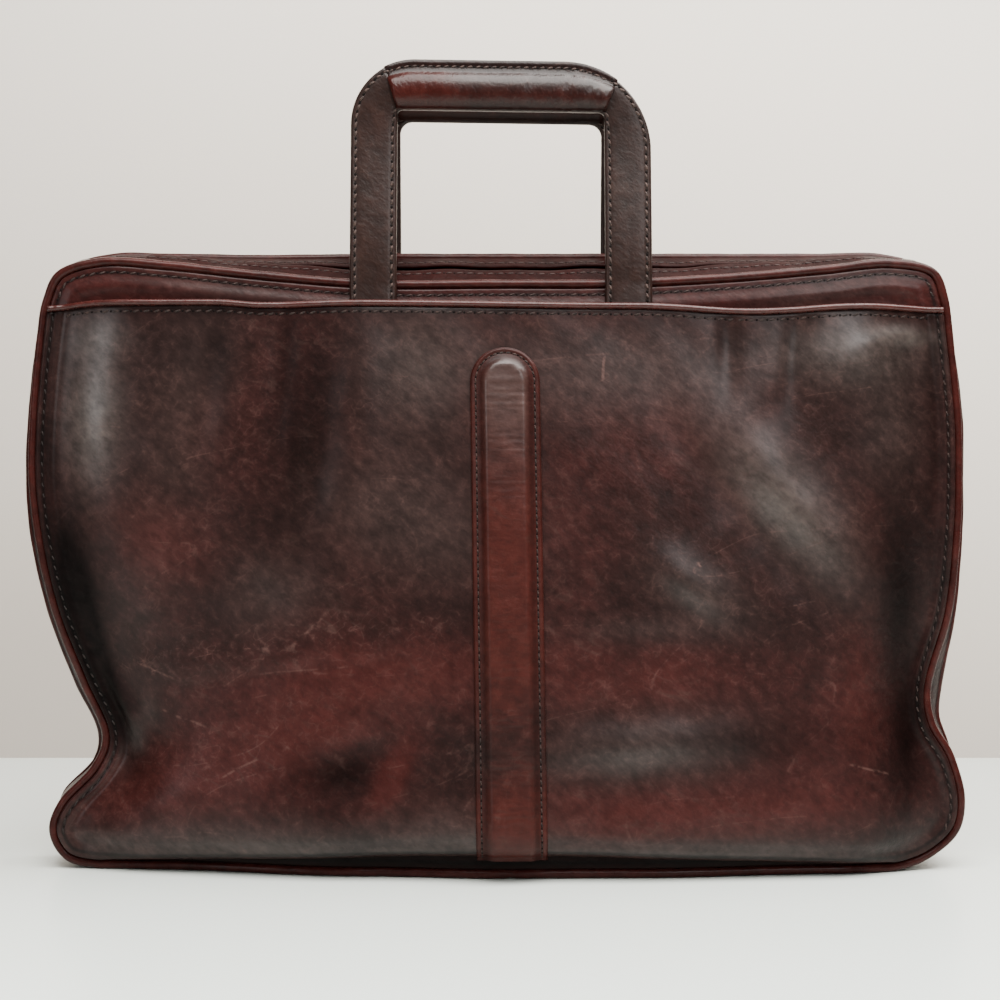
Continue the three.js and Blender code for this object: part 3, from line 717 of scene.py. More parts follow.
place = np.linspace(GUSSET_START, GUSSET_END, 560)
front, length, along_bridge, outward = bridge(place)
across = np.linspace(0, 1, 25)
near_end = np.minimum(place - GUSSET_START, GUSSET_END - place)
fold = SIDE_FOLD * eased((front[:, 2] - 18) / 70) * eased(near_end / 2)
run = SEAM_INSET + (length - 2 * SEAM_INSET) * across
drop = (PIPING - WALL / 2) * eased(np.minimum(across, 1 - across) / 0.12)
bulge = np.sin(math.pi * across)
crimp = 0.35 * np.sin(place[:, None] * 9 + 3 * across) * bulge * eased((front[:, 2:] - 25) / 40)
out = drop - fold[:, None] * bulge + crimp
middle = front[:, None] + along_bridge[:, None] * run[..., None]
layers = [middle + outward[:, None] * (out + thick)[..., None] for thick in (WALL / 2, -WALL / 2)]
make_piece("side_gusset", *closed_sheet(*layers), gusset_leather, "dark_leather", ["gusset"])


# Piping: a cord wrapped in a thin strip of redder leather, sewn in all round each panel.
# The strip's ends meet under the base, near the middle.
piping_leather = leather_finish(
    "piping_leather", (0.01, 0.0036, 0.0032), (0.035, 0.0066, 0.0054), (0.07, 0.03, 0.025),
    roughness=0.28, shine=1.18, coat=0.04, redness=0.6, grain=0.7, scuff=1.3,
)
PIPING_JOINT = 6


def make_piping(name, side, node):
    count, sides = 860, 12
    place = np.arange(count) / count * ALL_ROUND
    middle, outward = piping_line(side, place)
    along = np.roll(middle, -1, axis=0) - np.roll(middle, 1, axis=0)
    along /= np.linalg.norm(along, axis=1, keepdims=True)
    out = np.stack([outward[:, 0], np.zeros(count), outward[:, 1]], -1)
    depth = np.cross(along, out)
    depth /= np.linalg.norm(depth, axis=1, keepdims=True)
    run = np.cumsum(np.linalg.norm(np.roll(middle, -1, axis=0) - middle, axis=1))
    thick = PIPING + 0.05 * np.sin(run / 7.3) + 0.05 * np.sin(run / 3.1 + 1)
    thick -= 0.5 * hump(middle[:, 0] - PIPING_JOINT, 0.9) * (middle[:, 2] < 10)
    turn = np.linspace(0, 2 * math.pi, sides, endpoint=False)
    ring = out[:, None] * np.cos(turn)[:, None] + depth[:, None] * np.sin(turn)[:, None]
    rings = middle[:, None] + ring * thick[:, None, None]
    make_piece(name, *tube(rings, True), piping_leather, "piping", [node])


make_piping("front_piping", FRONT, "piping_front")
make_piping("back_piping", BACK, "piping_back")


# Strips beside the mouth: two narrow bands of leather, one sewn to the top edge of each wall, painted
# darker as shade of the mouth. They stand a little open, so the mouth shows as a dark gap.
shaded_strip_leather = leather_finish(
    "shaded_strip_leather", (0.0042, 0.0014, 0.0013), (0.0135, 0.0026, 0.0022), (0.026, 0.009, 0.0075),
    redness=0.7, roughness=0.4, shine=1.1, coat=0.0,
)
STRIP_RUN = 8


def make_strip(name, side, lift, node):
    count, columns, sewn = 240, 10, 6
    place = np.linspace(GUSSET_END + 0.02, GUSSET_START + ALL_ROUND - 0.02, count)
    front, length, along, _ = bridge(place)
    upward = np.stack([np.zeros(len(place)), -along[:, 2], along[:, 1]], -1)
    upward /= np.linalg.norm(upward, axis=1, keepdims=True)
    share = np.linspace(0, 1, columns)
    at = np.arange(count)
    near_end = eased(np.minimum(at, count - 1 - at) / 36)
    run = SEAM_INSET + share * STRIP_RUN
    run = length - run if side == BACK else np.broadcast_to(run, (count, columns))
    wander = 0.35 * np.sin(place * 5.1) + 0.25 * np.sin(place * 11.3)
    rise = lift * share * near_end[:, None] + share * (wander * near_end)[:, None]
    middle = front[:, None] + along[:, None] * run[..., None]
    layers = [middle + upward[:, None] * (rise + thick)[..., None] for thick in (0.95, -0.95)]
    make_piece(name, *closed_sheet(*layers), shaded_strip_leather, "dark_leather", [node])
    sew(name + "_stitches", [(layers[0][6:-6, sewn], upward[6:-6])], width=0.9)


make_strip("front_strip", FRONT, 2.2, "placket_front")
make_strip("back_strip", BACK, -0.8, "placket_back")


# Pocket: a second panel over the whole front, sewn in with the piping at the sides and base.
# It hangs slack, with a belly at the bottom and a deep fold at each side.
MOUTH_HEIGHT = 254.1
HEM_RISE = 6.2
HEM_HEIGHT = 4.5
POCKET_SLACK = 7.7
MOUTH_LINE = np.array([
    [-1, -0.5], [-0.85, 0.2], [-0.6, 0.2], [-0.5, -0.2], [-0.3, 0.1],
    [0.3, -0.3], [0.55, -1], [0.8, -0.3], [1, -0.6],
])


def mouth_height(x):
    return MOUTH_HEIGHT + 3.5 * read(MOUTH_LINE, x / HALF_LINE)


# Folds: across, up, half length, half width, turn in degrees from level, height.
POCKET_FOLDS = [
    (-166, 215, 40, 10, 86, -0.5),
    (-131, 215, 30, 9, 85, -1.2),
    (-96, 225, 40, 7, 85, -1.5),
    (-80, 190, 50, 9, 84, -1.2),
    (-60, 222, 40, 10, 88, 1.3),
    (104, 236, 18, 5, 90, -1.4),
    (134, 234, 22, 6, 85, -1.9),
    (160, 232, 24, 15, 10, 2.4),
    (182, 241, 14, 5, 5, 1.4),
    (134, 168, 42, 11, -50, 2.0),
    (114, 156, 40, 10, -50, -1.3),
    (86, 131, 22, 9, -35, 1.8),
    (60, 60, 46, 10, 3, 1.8),
    (-168, 74, 20, 5, -58, 2.2),
    (-176, 66, 22, 6, -60, -2.0),
    (-69, 47, 20, 12, 15, -1.5),
    (-120, 96, 50, 5, 6, 0.22),
    (-105, 88, 50, 4, 8, -0.22),
]


def hem_rise(x):
    """How far the pocket's lower edge is sewn above the piping."""
    return HEM_RISE * (1 - eased(np.abs(x - 4) / 200))


def pocket_lift(x, z, seam):
    """Distance from the front wall's middle surface to the pocket's."""
    left, right = side_edges
    from_side = np.minimum(x - np.interp(z, *left), np.interp(z, *right) - x)
    above = np.clip((z - HEM_HEIGHT - hem_rise(x)) / 11, 0, 1)
    rounded = np.sqrt(1 - (1 - above) ** 2)
    slack = POCKET_SLACK * (1 - hump(np.maximum(from_side - 5, 0), 20))
    belly = 2.6 * hump(z - 24, 22) * eased(from_side / 60)
    lift = WALL + SEAM_GAP + (slack + belly) * rounded
    lift = lift + patches(x, z, POCKET_FOLDS) * eased((from_side - 4) / 8)
    dents = np.sin(x / 9.3 + 1.4 * np.sin(z / 23 + 0.6)) * np.sin(z / 12.1 + 1.2 * np.sin(x / 31))
    small = np.sin(x / 4.9 + 1.1 * np.sin(z / 9.7)) * np.sin(z / 6.3 + 0.9 * np.sin(x / 14) + 2)
    lift = lift + 0.2 * (dents + 0.6 * small) * eased((from_side - 8) / 20) * above
    margin = 0.5 * hump(seam - 3.4, 1.6) + 0.35 * hump(seam - 6.6, 1.2) - 0.45 * hump(seam - TOPSTITCH, 0.8)
    return lift + margin * eased((z - 20) / 20) - 0.6 * hump(seam - 9.5, 2.5)


side_places = np.linspace(0, 1, 400)
left_side = outline(FRONT, ALL_ROUND + (UPPER_LEFT - ALL_ROUND) * side_places, SEAM_INSET)[0]
right_side = outline(FRONT, LOWER_RIGHT + (UPPER_RIGHT - LOWER_RIGHT) * side_places, SEAM_INSET)[0]
side_edges = ((left_side[:, 1], left_side[:, 0]), (right_side[:, 1], right_side[:, 0]))

columns = panel_shares(FRONT, 0, LOWER_RIGHT, 0.8, 1.95, 10)
# Each column of the sheet is cut where it meets the mouth's line.
low, high = np.full(len(columns), 0.5), np.ones(len(columns))
for _ in range(26):
    halfway = (low + high) / 2
    x, z = (p[:, 0] for p in panel_points(FRONT, columns, halfway[:, None]))
    below = z < mouth_height(x)
    low, high = np.where(below, halfway, low), np.where(below, high, halfway)
rows = panel_shares(FRONT, LOWER_RIGHT, UPPER_RIGHT, 0.9, 2.0, 10)
pocket_x, pocket_z = panel_points(FRONT, columns, low[:, None] * rows[None, :])
pocket_seam = from_seam(FRONT, pocket_x, pocket_z)
pocket_z = pocket_z + hem_rise(pocket_x) * (1 - eased((pocket_z - HEM_HEIGHT) / 40))
pocket_middle = panel_depth(FRONT, pocket_x, pocket_z) + pocket_lift(pocket_x, pocket_z, pocket_seam)
pocket_front = np.stack([pocket_x, -(pocket_middle + WALL / 2), pocket_z], -1)
pocket_back = np.stack([pocket_x, -(pocket_middle - WALL / 2), pocket_z], -1)


# Where the dye shows red, where shade is painted dark (with one dark stain low on the left), where sheens
# are painted grey, and where handling has rubbed it.
# Rows are as the folds', with a strength in place of the height.
POCKET_RED = [
    (-95, 66, 44, 30, 12, 0.45),
    (-45, 47, 6, 15, -30, 0.9),
    (-92, 64, 20, 4, 22, 0.4),
    (-72, 63, 20, 5, 14, 0.45),
    (-150, 150, 20, 22, 60, 0.45),
    (-150, 40, 50, 20, 5, 0.4),
    (-40, 92, 50, 16, 4, 0.4),
    (60, 88, 70, 16, 2, 0.4),
    (80, 30, 90, 12, 0, 0.5),
    (150, 60, 40, 24, 20, 0.35),
    (170, 95, 14, 30, 0, 0.3),
    (30, 160, 30, 46, 0, 0.15),
    (-120, 195, 30, 26, 0, 0.2),
    (80, 200, 44, 26, 0, 0.25),
]
# Painted shade in the side valleys, the folds, under the binding and along the bottom, and one dark stain
# low on the left.
POCKET_SHADE_AND_STAIN = [
    (-72, 47, 22, 11, 10, 0.7),
    (-62, 44, 12, 9, -20, 0.3),
    (-176, 80, 38, 8, -68, 1.1),
    (-190, 130, 40, 11, -77, 1.2),
    (-203, 200, 40, 4, 90, 0.5),
    (181, 118, 62, 13, 88, 0.95),
    (188, 60, 40, 10, 80, 0.7),
    (198, 200, 50, 4, 90, 0.5),
    (-85, 190, 48, 16, 86, 0.7),
    (-125, 230, 34, 6, 86, 0.35),
    (-93, 236, 26, 4, 88, 0.35),
    (101, 232, 24, 4, 88, 0.35),
    (132, 232, 26, 4, 84, 0.4),
    (92, 180, 24, 10, 80, 0.35),
    (-18, 42, 24, 12, 0, 0.2),
    (112, 62, 44, 11, 0, 0.5),
    (0, 252.5, 220, 1.6, 0, 0.5),
    (-60, 20, 90, 9, 0, 0.1),
    (120, 14, 70, 7, 0, 0.25),
]
# Painted sheens: grey where the pocket's leather tilts towards the lights.
POCKET_PAINTED_SHEEN = [
    (-181, 205, 30, 13, 88, 1.0),
    (-178, 240, 14, 9, 0, 0.5),
    (-140, 205, 60, 20, 80, 0.25),
    (-35, 228, 24, 26, 0, 0.42),
    (-50, 170, 40, 26, 10, 0.2),
    (60, 224, 60, 22, 0, 0.32),
    (178, 200, 16, 26, 0, 0.3),
    (160, 234, 34, 14, 0, 0.75),
    (183, 241, 14, 4, 0, 1.0),
    (128, 168, 44, 16, -50, 0.8),
    (90, 128, 22, 12, -30, 0.4),
    (66, 60, 40, 14, 4, 0.4),
    (-100, 126, 22, 16, 0, 0.25),
    (-105, 13, 95, 8, 0, 0.35),
    (-10, 24, 30, 12, 0, 0.25),
    (100, 12, 80, 6, 0, 0.3),
    (-163, 58, 5, 20, -24, 0.25),
    (-20, 150, 34, 22, 0, 0.18),
    (70, 110, 30, 6, 0, 0.2),
]
POCKET_WEAR = [
    (-120, 100, 70, 9, 8, 0.5),
    (-60, 108, 60, 7, 4, 0.45),
    (-120, 60, 50, 24, 10, 0.4),
    (86, 135, 30, 14, -35, 0.35),
    (-100, 200, 60, 50, 0, 0.25),
    (60, 90, 60, 20, 0, 0.25),
    (150, 220, 50, 30, 0, 0.2),
]
pocket_marks = {
    "redness": 0.3 + patches(pocket_x, pocket_z, POCKET_RED),
    "gloom": patches(pocket_x, pocket_z, POCKET_SHADE_AND_STAIN),
    "bloom": 0.06 + patches(pocket_x, pocket_z, POCKET_PAINTED_SHEEN),
    "wear": 0.5 + patches(pocket_x, pocket_z, POCKET_WEAR),
    "seam": pocket_seam / 1000,
}

# Scratches: from and to, across and up, width, paleness.
POCKET_SCRATCHES = [
    (48.5, 232, 48, 220, 0.9, 0.5),
    (88.5, 141, 91.5, 137, 1.6, 0.9),
    (67.5, 81, 69, 79.5, 1.4, 0.9),
    (126, 119, 143, 122, 0.5, 0.25),
    (156, 50, 176, 44, 0.7, 0.4),
    (-166, 97, -143, 87, 0.7, 0.35),
    (-106, 90, -62, 95, 0.6, 0.22),
    (-150, 74, -128, 66, 0.8, 0.35),
    (-122, 44, -104, 54, 0.7, 0.35),
]
pocket_leather = leather_finish("pocket_leather", DARK, RED, RUBBED, shine=1.12, scratches=POCKET_SCRATCHES)
make_marked_sheet(
    "front_pocket", pocket_front, pocket_back, pocket_leather, "leather", ["pocket_panel"], pocket_marks
)


def pocket_face_at(x, z):
    seam = from_seam(FRONT, x, z)
    return panel_depth(FRONT, x, z) + pocket_lift(x, z, seam) + WALL / 2


# The left row is sewn with the shaded copy of the thread: painted shade.
SIDE_ROWS = (("left", 43.1, 32.7, shaded_thread), ("right", 10.9, 21.4, body_thread))
for name, start, end, thread in SIDE_ROWS:
    line = outline(FRONT, np.linspace(start, end, 160), TOPSTITCH)[0]
    line = line[line[:, 1] < mouth_height(line[:, 0]) - 3]
    row = off_surface(pocket_face_at, line[:, 0], line[:, 1], FRONT)
    sew("pocket_stitches_" + name, [row], width=0.95, sink=0.15, thread=thread)
x = np.linspace(-193, 193, 300)
sew("pocket_mouth_stitches", [off_surface(pocket_face_at, x, mouth_height(x) - 2.6, FRONT)])


# Binding of the pocket's mouth: a thin strip of red leather, rolled over the pocket's raw edge and
# sewn down by the row of stitches below it.
binding_leather = leather_finish(
    "binding_leather", (0.011, 0.0042, 0.0038), (0.04, 0.0082, 0.0066), (0.085, 0.04, 0.033),
    roughness=0.28, shine=1.28, redness=0.7, grain=0.6,
)
edge = pocket_front[:, -1]
turn = np.linspace(0, 2 * math.pi, 14, endpoint=False)
BINDING_HEIGHT = 2.8
BINDING_DEPTH = 3.9
y = edge[:, 1:2] + WALL + 0.1 + BINDING_DEPTH / 2 * (np.cos(turn) - 1)
z = edge[:, 2:3] + BINDING_HEIGHT / 2 * (1 + np.sin(turn)) - 0.1
rings = np.stack([np.broadcast_to(edge[:, :1], y.shape), y, z], -1)
make_piece("pocket_edge", *tube(rings, False), binding_leather, "piping", ["pocket_binding"])


# Centre band: a padded strip of redder leather down the pocket, round at the top.
# It is sewn along both flanges, and its raised middle is wrinkled across.
BAND_WIDTH = 31
BAND_RIDGE = 20
BAND_TOP = 235.5
BAND_STITCH = 2.4
BAND_BASE_X = 7.6
BAND_TOP_X = 4.1


def band_middle(z):
    """The band leans a little: its middle line from the base to the top."""
    return BAND_BASE_X + (BAND_TOP_X - BAND_BASE_X) * z / BAND_TOP


half = BAND_WIDTH / 2
cap_base = BAND_TOP - half
straight = np.arange(9.0, cap_base, 1.3)
cap = cap_base + half * np.sin(np.linspace(0, 1, 20)[1:-1] ** 0.85 * math.pi / 2)
heights = np.concatenate([straight, cap])
narrow = np.sqrt(np.clip(1 - ((heights - cap_base) / half).clip(0, None) ** 2, 0.004, 1))
shares = np.concatenate([np.linspace(-1, -0.8, 7), np.linspace(-0.76, 0.76, 23), np.linspace(0.8, 1, 7)])
band_aside = shares[:, None] * half * narrow
band_x = band_middle(heights) + band_aside
band_z = np.broadcast_to(heights, band_x.shape)
from_edge = half - np.hypot(band_aside, np.maximum(band_z - cap_base, 0))
ridge = eased((from_edge - (BAND_WIDTH - BAND_RIDGE) / 2 + 1.6) / 3.4)
wrinkle = 0.8 * np.sin(band_x * 0.5) + 1.2 * np.sin(band_z * 0.31)
wrinkle = 0.16 * np.sin(band_z * 2.1 + wrinkle) * ridge
pull = -0.5 * hump(from_edge - BAND_STITCH, 0.9)
rim = -0.9 * hump(from_edge, 0.55)
thick = 1.7 + 2.3 * ridge + wrinkle + pull + rim
ground = pocket_face_at(band_x, band_z)
band_front = np.stack([band_x, -(ground + 0.2 + thick), band_z], -1)
band_back = np.stack([band_x, -(ground + 0.15), band_z], -1)
band_leather = leather_finish(
    "band_leather", (0.012, 0.005, 0.0045), (0.034, 0.0074, 0.0058), (0.07, 0.036, 0.03),
    roughness=0.36, shine=1.15, grain=0.9, scuff=0.9, lean=0.1,
)
BAND_RED = [(0, 120, 999, 60, 0, 0.25), (0, 20, 999, 20, 0, 0.2), (0, 60, 999, 18, 0, -0.3)]
# Painted sheen on the band's raised top, and painted shade in its stitched channels and along its edges.
band_marks = {
    "redness": 0.55 + patches(band_x, band_z, BAND_RED),
    "bloom": 0.45 * hump(band_z - 220, 34) * ridge,
    "gloom": 0.55 * hump(from_edge - 4.2, 1.6) + 0.25 * hump(from_edge, 1.2),
    "wear": 0.45 + 0 * band_z,
}
band = make_marked_sheet(
    "padded_band", band_front, band_back, band_leather, "band_leather", ["centre_band"], band_marks, 0.1
)

inside = half - BAND_STITCH
arc = np.linspace(0, math.pi, 60)
up = np.arange(11.0, cap_base, 1.5)
row_z = np.concatenate([up, cap_base + inside * np.sin(arc), up[::-1]])
turned_over = np.concatenate([np.ones(len(up)), np.cos(arc), -np.ones(len(up))])
row_x = band_middle(np.minimum(row_z, cap_base)) + inside * turned_over


def band_face_at(x, z):
    return pocket_face_at(x, z) + 1.5


row = off_surface(band_face_at, row_x, row_z, FRONT)
sew("band_stitches", [row], pitch=3.05, length=2.3, width=0.85, slant=0.15)


# Handles: flat folded straps of leather, stitched along both edges, that rise from each wall,
# turn the corner and end at a mitred seam against the grip.
HANDLE_WIDTH = 136.7
HANDLE_HEIGHT = 367.4
HANDLE_X = 2.5
HANDLE_DROP = 2
LEG_WIDTH = 21.3
LEG_THICKNESS = 3.6
LEG_DROP = 52
GRIP_SPACING = 27
GRIP_HEIGHT = 16.7
GRIP_DEPTH = 12
FLANGE_HEIGHT = 6.4
MITRE = 6
GRIP_BASE = HANDLE_HEIGHT - FLANGE_HEIGHT - GRIP_HEIGHT
BODY_TOP = 283.4
LEFT = -1
RIGHT = 1
CORNER_RADIUS = {LEFT: 30, RIGHT: 40}
LEG_STITCH = 2.4
INNER_FILLET = {FRONT: 2.5, BACK: 6}

handle_leather = leather_finish(
    "handle_leather", (0.0105, 0.0052, 0.0042), (0.02, 0.0076, 0.0056), (0.055, 0.032, 0.025),
    roughness=0.36, redness=0.35, grain=0.8,
)


def edge_height(side):
    return float(outline(side, np.array([27.0]))[0][0, 1])


def handle_depth(side, x, z):
    top = edge_height(side)
    panel = panel_depth(side, x, np.minimum(z, top))
    on_panel = panel + (WALL + LEG_THICKNESS) / 2 + SEAM_GAP
    over_piping = panel + PIPING + SEAM_GAP + LEG_THICKNESS / 2
    lower = on_panel + (over_piping - on_panel) * eased((z - (top - 28)) / 14)
    return lower + (GRIP_SPACING / 2 - lower) * eased((z - top - PIPING) / (GRIP_BASE - top - PIPING))


def handle_points(side, x, z, depth):
    clear = eased((z - BODY_TOP) / (GRIP_BASE - BODY_TOP))
    y = side * (handle_depth(side, HANDLE_X + x, z) + depth)
    return np.stack([HANDLE_X + x + 0 * y, y, z - HANDLE_DROP * x / HANDLE_WIDTH * clear], -1)


def top_edge(x):
    radius = np.where(x < 0, CORNER_RADIUS[LEFT], CORNER_RADIUS[RIGHT])
    into = np.maximum(np.abs(x) - (HANDLE_WIDTH / 2 - radius), 0)
    return HANDLE_HEIGHT - radius + np.sqrt(np.maximum(radius**2 - into**2, 0))


# Half of a strap's section: distance from its edge, share of the half thickness.
STRAP_EDGE = [
    (0, 0), (0.12, 0.42), (0.45, 0.76), (1.1, 0.97), (1.8, 0.98), (2.3, 0.84), (2.8, 0.99), (4.2, 1.08),
]


def strap_ring(width):
    left = [(gap / width, share) for gap, share in STRAP_EDGE]
    middle = [(s, 1.16) for s in (0.3, 0.42, 0.58, 0.7)]
    right = [(1 - s, share) for s, share in left[::-1]]
    front_side = left + middle + right
    return np.array(front_side + [(s, -share) for s, share in front_side[-2:0:-1]])


def leg_rows(side, hand):
    radius = CORNER_RADIUS[hand]
    outer_x, inner_x = HANDLE_WIDTH / 2, HANDLE_WIDTH / 2 - LEG_WIDTH
    base, bend = edge_height(side) - LEG_DROP, HANDLE_HEIGHT - radius
    inner_bend = GRIP_BASE - radius / 2
    share = np.linspace(0, 1, 64)[:-1]
    outer = np.stack([np.full_like(share, outer_x), base + (bend - base) * share], -1)
    inner = np.stack([np.full_like(share, inner_x), base + (inner_bend - base) * share], -1)
    last = math.acos((inner_x + MITRE - outer_x + radius) / radius)
    share = np.linspace(0, 1, 30)
    x = outer_x - radius * (1 - np.cos(share * last))
    outer = np.concatenate([outer, np.stack([x, top_edge(hand * x)], -1)])
    corner = inner_bend + (GRIP_BASE - inner_bend) * share
    fillet = INNER_FILLET[side]
    into = np.clip((corner - GRIP_BASE) / fillet + 1, 0, 1)
    round_in = np.stack([inner_x - fillet * (1 - np.sqrt(1 - into**2)), corner], -1)
    return outer, np.concatenate([inner, round_in])


def make_leg(name, side, hand, node):
    outer, inner = leg_rows(side, hand)
    ring = strap_ring(LEG_WIDTH)
    span = outer[:, None] + (inner - outer)[:, None] * ring[None, :, :1]
    depth = ring[:, 1] * LEG_THICKNESS / 2
    rings = handle_points(side, hand * span[..., 0], span[..., 1], depth[None, :])
    make_piece(name, *tube(rings, False), handle_leather, "handle_leather", [node])
    sewn = []
    for inset in (LEG_STITCH / LEG_WIDTH, 1 - LEG_STITCH / LEG_WIDTH):
        line = outer + (inner - outer) * inset
        for face in (1, -1):
            points = handle_points(side, hand * line[2:, 0], line[2:, 1], face * LEG_THICKNESS * 0.44)
            sewn.append((points, np.broadcast_to([0.0, side * face, 0.0], points.shape)))
    sew(name + "_stitches", sewn, pitch=4.15, width=1.4, slant=0.34 * hand, thread=handle_thread)


for place_name, side in (("front", FRONT), ("rear", BACK)):
    for hand_name, hand in (("left", LEFT), ("right", RIGHT)):
        node = f"handle_{place_name}_leg_{hand_name}"
        make_leg(f"{place_name}_strap_{hand_name}", side, hand, node)


# Grips: the strap's leather rolled round a firm padded core, with its two edges sewn together along the
# top. The front grip is polished glossy by the hand and carries a painted highlight and painted shade; the
# rear one is a darker copy of the leather, painted dark as shade.
grip_leather = leather_finish(
    "grip_leather", (0.0085, 0.0036, 0.0032), (0.027, 0.005, 0.0038), (0.07, 0.036, 0.03),
    roughness=0.25, grain=1.3, shine=1.2, lean=1.3,
)
# A darker copy of the grip leather for the rear grip: painted shade.
shaded_rear_grip_leather = leather_finish(
    "shaded_rear_grip_leather", (0.005, 0.0024, 0.002), (0.018, 0.0042, 0.003), (0.04, 0.02, 0.016),
    roughness=0.5, grain=0.7, shine=1.12, lean=1.3,
)
# Half of the section, from the sewn edge down: share of the half depth, share of the height.
GRIP_SECTION = np.array([
    (0, 1.0), (0.22, 0.995), (0.3, 0.98), (0.3, 0.9), (0.26, 0.86), (0.3, 0.82), (0.33, 0.77),
    (0.42, 0.735), (0.62, 0.69), (0.82, 0.62), (0.95, 0.52), (1.0, 0.41), (0.98, 0.29), (0.87, 0.17),
    (0.68, 0.08), (0.42, 0.02), (0.2, 0.004), (0, 0),
])


def make_grip(name, side, finish, node):
    half, full = GRIP_DEPTH / 2, GRIP_HEIGHT + FLANGE_HEIGHT
    mirrored = GRIP_SECTION[-2:0:-1] * (-1, 1)
    section = np.concatenate([GRIP_SECTION, mirrored])
    depth, height = section[:, 0] * half, section[:, 1] * full
    inner_x = HANDLE_WIDTH / 2 - LEG_WIDTH
    share = np.concatenate([[-1, -0.994, -0.985], np.linspace(-0.97, 0.97, 90), [0.985, 0.994, 1]])
    top = top_edge(share * (inner_x + MITRE - 0.6))
    squeeze = ((top - GRIP_BASE) / full)[:, None]
    x = share[:, None] * (inner_x + MITRE * section[:, 1] + 0.25)
    nip = 1 - 0.22 * hump(1 - np.abs(share), 0.012)
    crease = 1 - 0.1 * hump((share - 0.62) * 50, 1.6) - 0.05 * hump((share - 0.3) * 50, 3)
    crease -= 0.07 * hump((share - 0.83) * 50, 1.3) + 0.05 * hump((share - 0.9) * 50, 0.9)
    plump = 1 + 0.03 * np.sin(share * 9)
    depth = depth[None, :] * (nip * crease * plump)[:, None]
    rings = handle_points(side, x, GRIP_BASE + height[None, :] * squeeze, depth)
    along = np.broadcast_to(share[:, None], (len(share), len(section)))
    high = np.broadcast_to(section[:, 1], along.shape)
    red = 0.75 - 0.45 * eased((along + 0.75) / 0.6) + 0.3 * hump(high - 0.2, 0.2)
    # Painted highlight along the upper middle of the roll, and painted shade along its underside.
    grip_marks = {
        "redness": red * (1 - 0.7 * (high > 0.74)),
        "bloom": 0.22 * eased((along + 0.7) / 0.5) * hump(high - 0.56, 0.13),
        "gloom": 0.5 * hump(high - 0.02, 0.12),
        "wear": 0.4 + 0.3 * along,
    }
    spread = {mark: np.append(values.ravel(), [0.3, 0.3]) for mark, values in grip_marks.items()}
    grip = make_piece(name, *tube(rings, False), finish, "handle_leather", [node], spread)
    x = np.linspace(-inner_x - MITRE + 3, inner_x + MITRE - 3, 120)
    sewn = []
    for face in (1, -1):
        points = handle_points(side, x, top_edge(x) - 3.3, face * 0.27 * half)
        sewn.append((points, np.broadcast_to([0.0, side * face, 0.0], points.shape)))
    sew(name + "_stitches", sewn, pitch=3.6, length=2.7, thread=handle_thread)


make_grip("front_grip", FRONT, grip_leather, "handle_front_grip")
make_grip("rear_grip", BACK, shaded_rear_grip_leather, "handle_rear_grip")


# Floor and wall of the photograph: a pale, slightly glossy board and a warm white wall behind it. Both
# carry painted light: the board is painted palest round the case and towards the camera, the wall lighter
# towards its top and right, and both dim to grey away from the case as painted falloff.
WALL_AT = 0.356


def make_ground(name, corners, near, far, slope, roughness, one_sided=False):
    """A stage surface. Its colour goes from far to near along a slope and dims towards the room."""
    material, start = new_finish(name)
    place = start.node("ShaderNodeTexCoord", None, None, 3)
    across, outward, up = place.parts()
    # Painted light: colour graded along the slope, and dimmed to grey away from the case as painted
    # falloff.
    ink = across * slope[0] + outward * slope[1] + up * slope[2] + slope[3]
    away = place.node("ShaderNodeVectorMath", {"operation": "LENGTH"}, {0: place}, 1)
    ink = away.between(0.45, 1.15).mix(ink.between(0, 1).mix(far, near), (0.3, 0.3, 0.295))
    inputs = {"Base Color": ink, "Roughness": roughness, "IOR": 1.45}
    surface = start.node("ShaderNodeBsdfPrincipled", None, inputs)
    if one_sided:
        behind = start.node("ShaderNodeNewGeometry", None, None, 6)
        clear = start.node("ShaderNodeBsdfTransparent")
        surface = start.node("ShaderNodeMixShader", None, {0: behind, 1: surface, 2: clear})
    start.node("ShaderNodeOutputMaterial", None, {"Surface": surface})
    mesh = bpy.data.meshes.new(name)
    mesh.from_pydata(corners, [], [(0, 1, 2, 3)])
    mesh.materials.append(material)
    made = bpy.data.objects.new(name, mesh)
    bpy.context.scene.collection.objects.link(made)
    made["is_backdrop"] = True


WIDE = 3
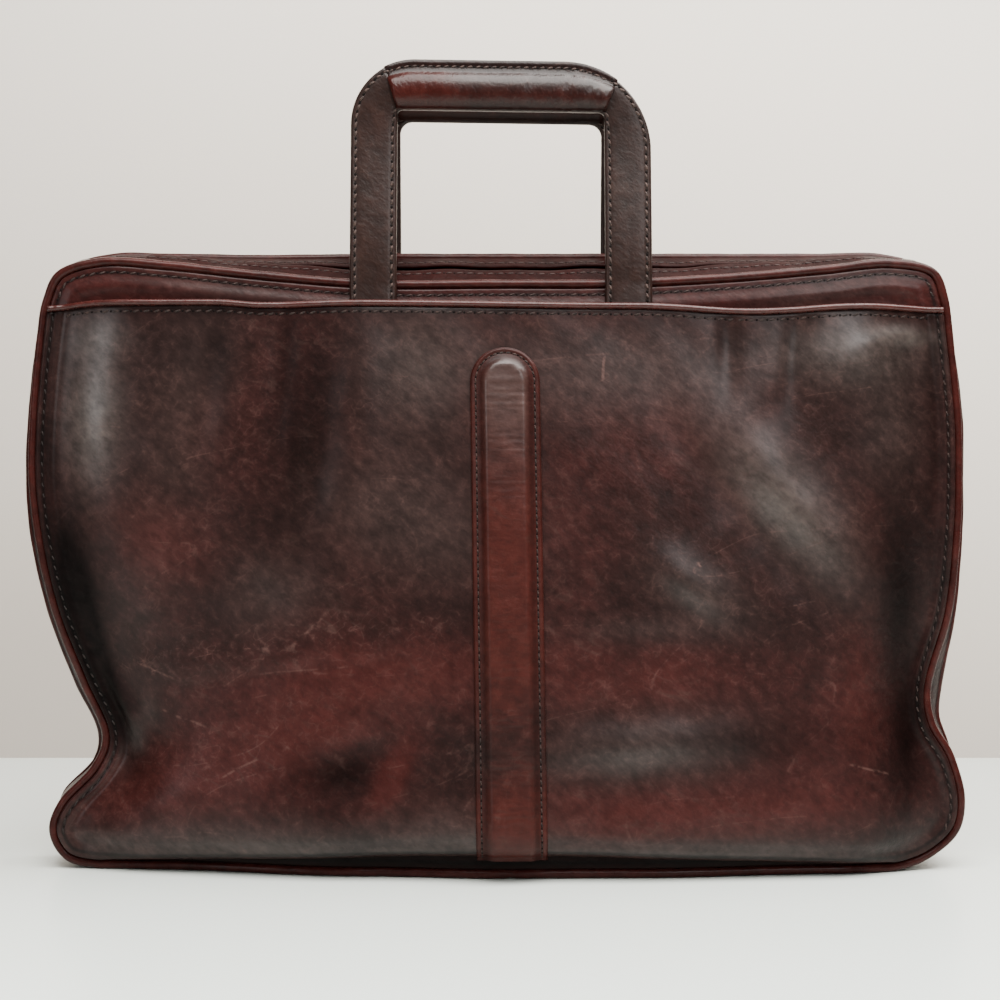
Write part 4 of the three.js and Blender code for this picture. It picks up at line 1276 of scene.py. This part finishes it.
make_ground(
    "floor",
    [(-WIDE, -WIDE, 0), (WIDE, -WIDE, 0), (WIDE, WIDE, 0), (-WIDE, WIDE, 0)],
    near=(0.76, 0.83, 0.79),
    far=(0.5, 0.53, 0.5),
    slope=(0.1, -1.2, 0, 0.3),
    roughness=0.28,
)
make_ground(
    "backdrop",
    [(-WIDE, WALL_AT, 0), (WIDE, WALL_AT, 0), (WIDE, WALL_AT, WIDE), (-WIDE, WALL_AT, WIDE)],
    near=(0.86, 0.79, 0.71),
    far=(0.36, 0.32, 0.285),
    slope=(0.3, 0, 1.2, 0.12),
    roughness=0.8,
    one_sided=True,
)


# Light: a wide soft ceiling a little to the right, its far part towards the camera, two small windows
# that the leather catches as sheens, and a dim room.
def make_light(name, place, aim, size, power, colour):
    data = bpy.data.lights.new(name, "AREA")
    data.shape = "RECTANGLE"
    data.size, data.size_y = size
    data.energy = power
    data.color = colour
    lamp = bpy.data.objects.new(name, data)
    lamp.location = place
    across, outward, up = np.subtract(aim, place)
    lamp.rotation_euler = (math.atan2(math.hypot(across, outward), -up), 0, math.atan2(-across, outward))
    bpy.context.scene.collection.objects.link(lamp)


make_light("ceiling", (0.35, -0.35, 1.4), (0.15, -0.1, 0), (2.0, 1.1), 140, (1.0, 0.97, 0.93))
make_light("left_window", (-1.7, -1.9, 0.75), (-0.1, 0, 0.2), (0.7, 0.7), 12, (1.0, 1.0, 1.0))
make_light("right_window", (0.9, -2.4, 1.35), (0.1, 0, 0.2), (0.7, 0.7), 20, (1.0, 1.0, 1.0))
make_light("far_ceiling", (0.4, -3.4, 2.6), (0, 0, 0.1), (4, 2.5), 12, (1.0, 0.99, 0.97))
room = bpy.data.worlds.new("room")
room.use_nodes = True
room.node_tree.nodes.clear()
dim = Wire(room.node_tree)
seen = dim.node("ShaderNodeLightPath")
air = dim.node("ShaderNodeBackground", None, {"Color": (0.9, 0.92, 0.93, 1), "Strength": 0.05})
haze = dim.node("ShaderNodeBackground", None, {"Color": (0.9, 0.89, 0.87, 1), "Strength": 1.1})
air = dim.node("ShaderNodeMixShader", None, {0: seen, 1: air, 2: haze})
dim.node("ShaderNodeOutputWorld", None, {"Surface": air})
bpy.context.scene.world = room

low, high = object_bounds()
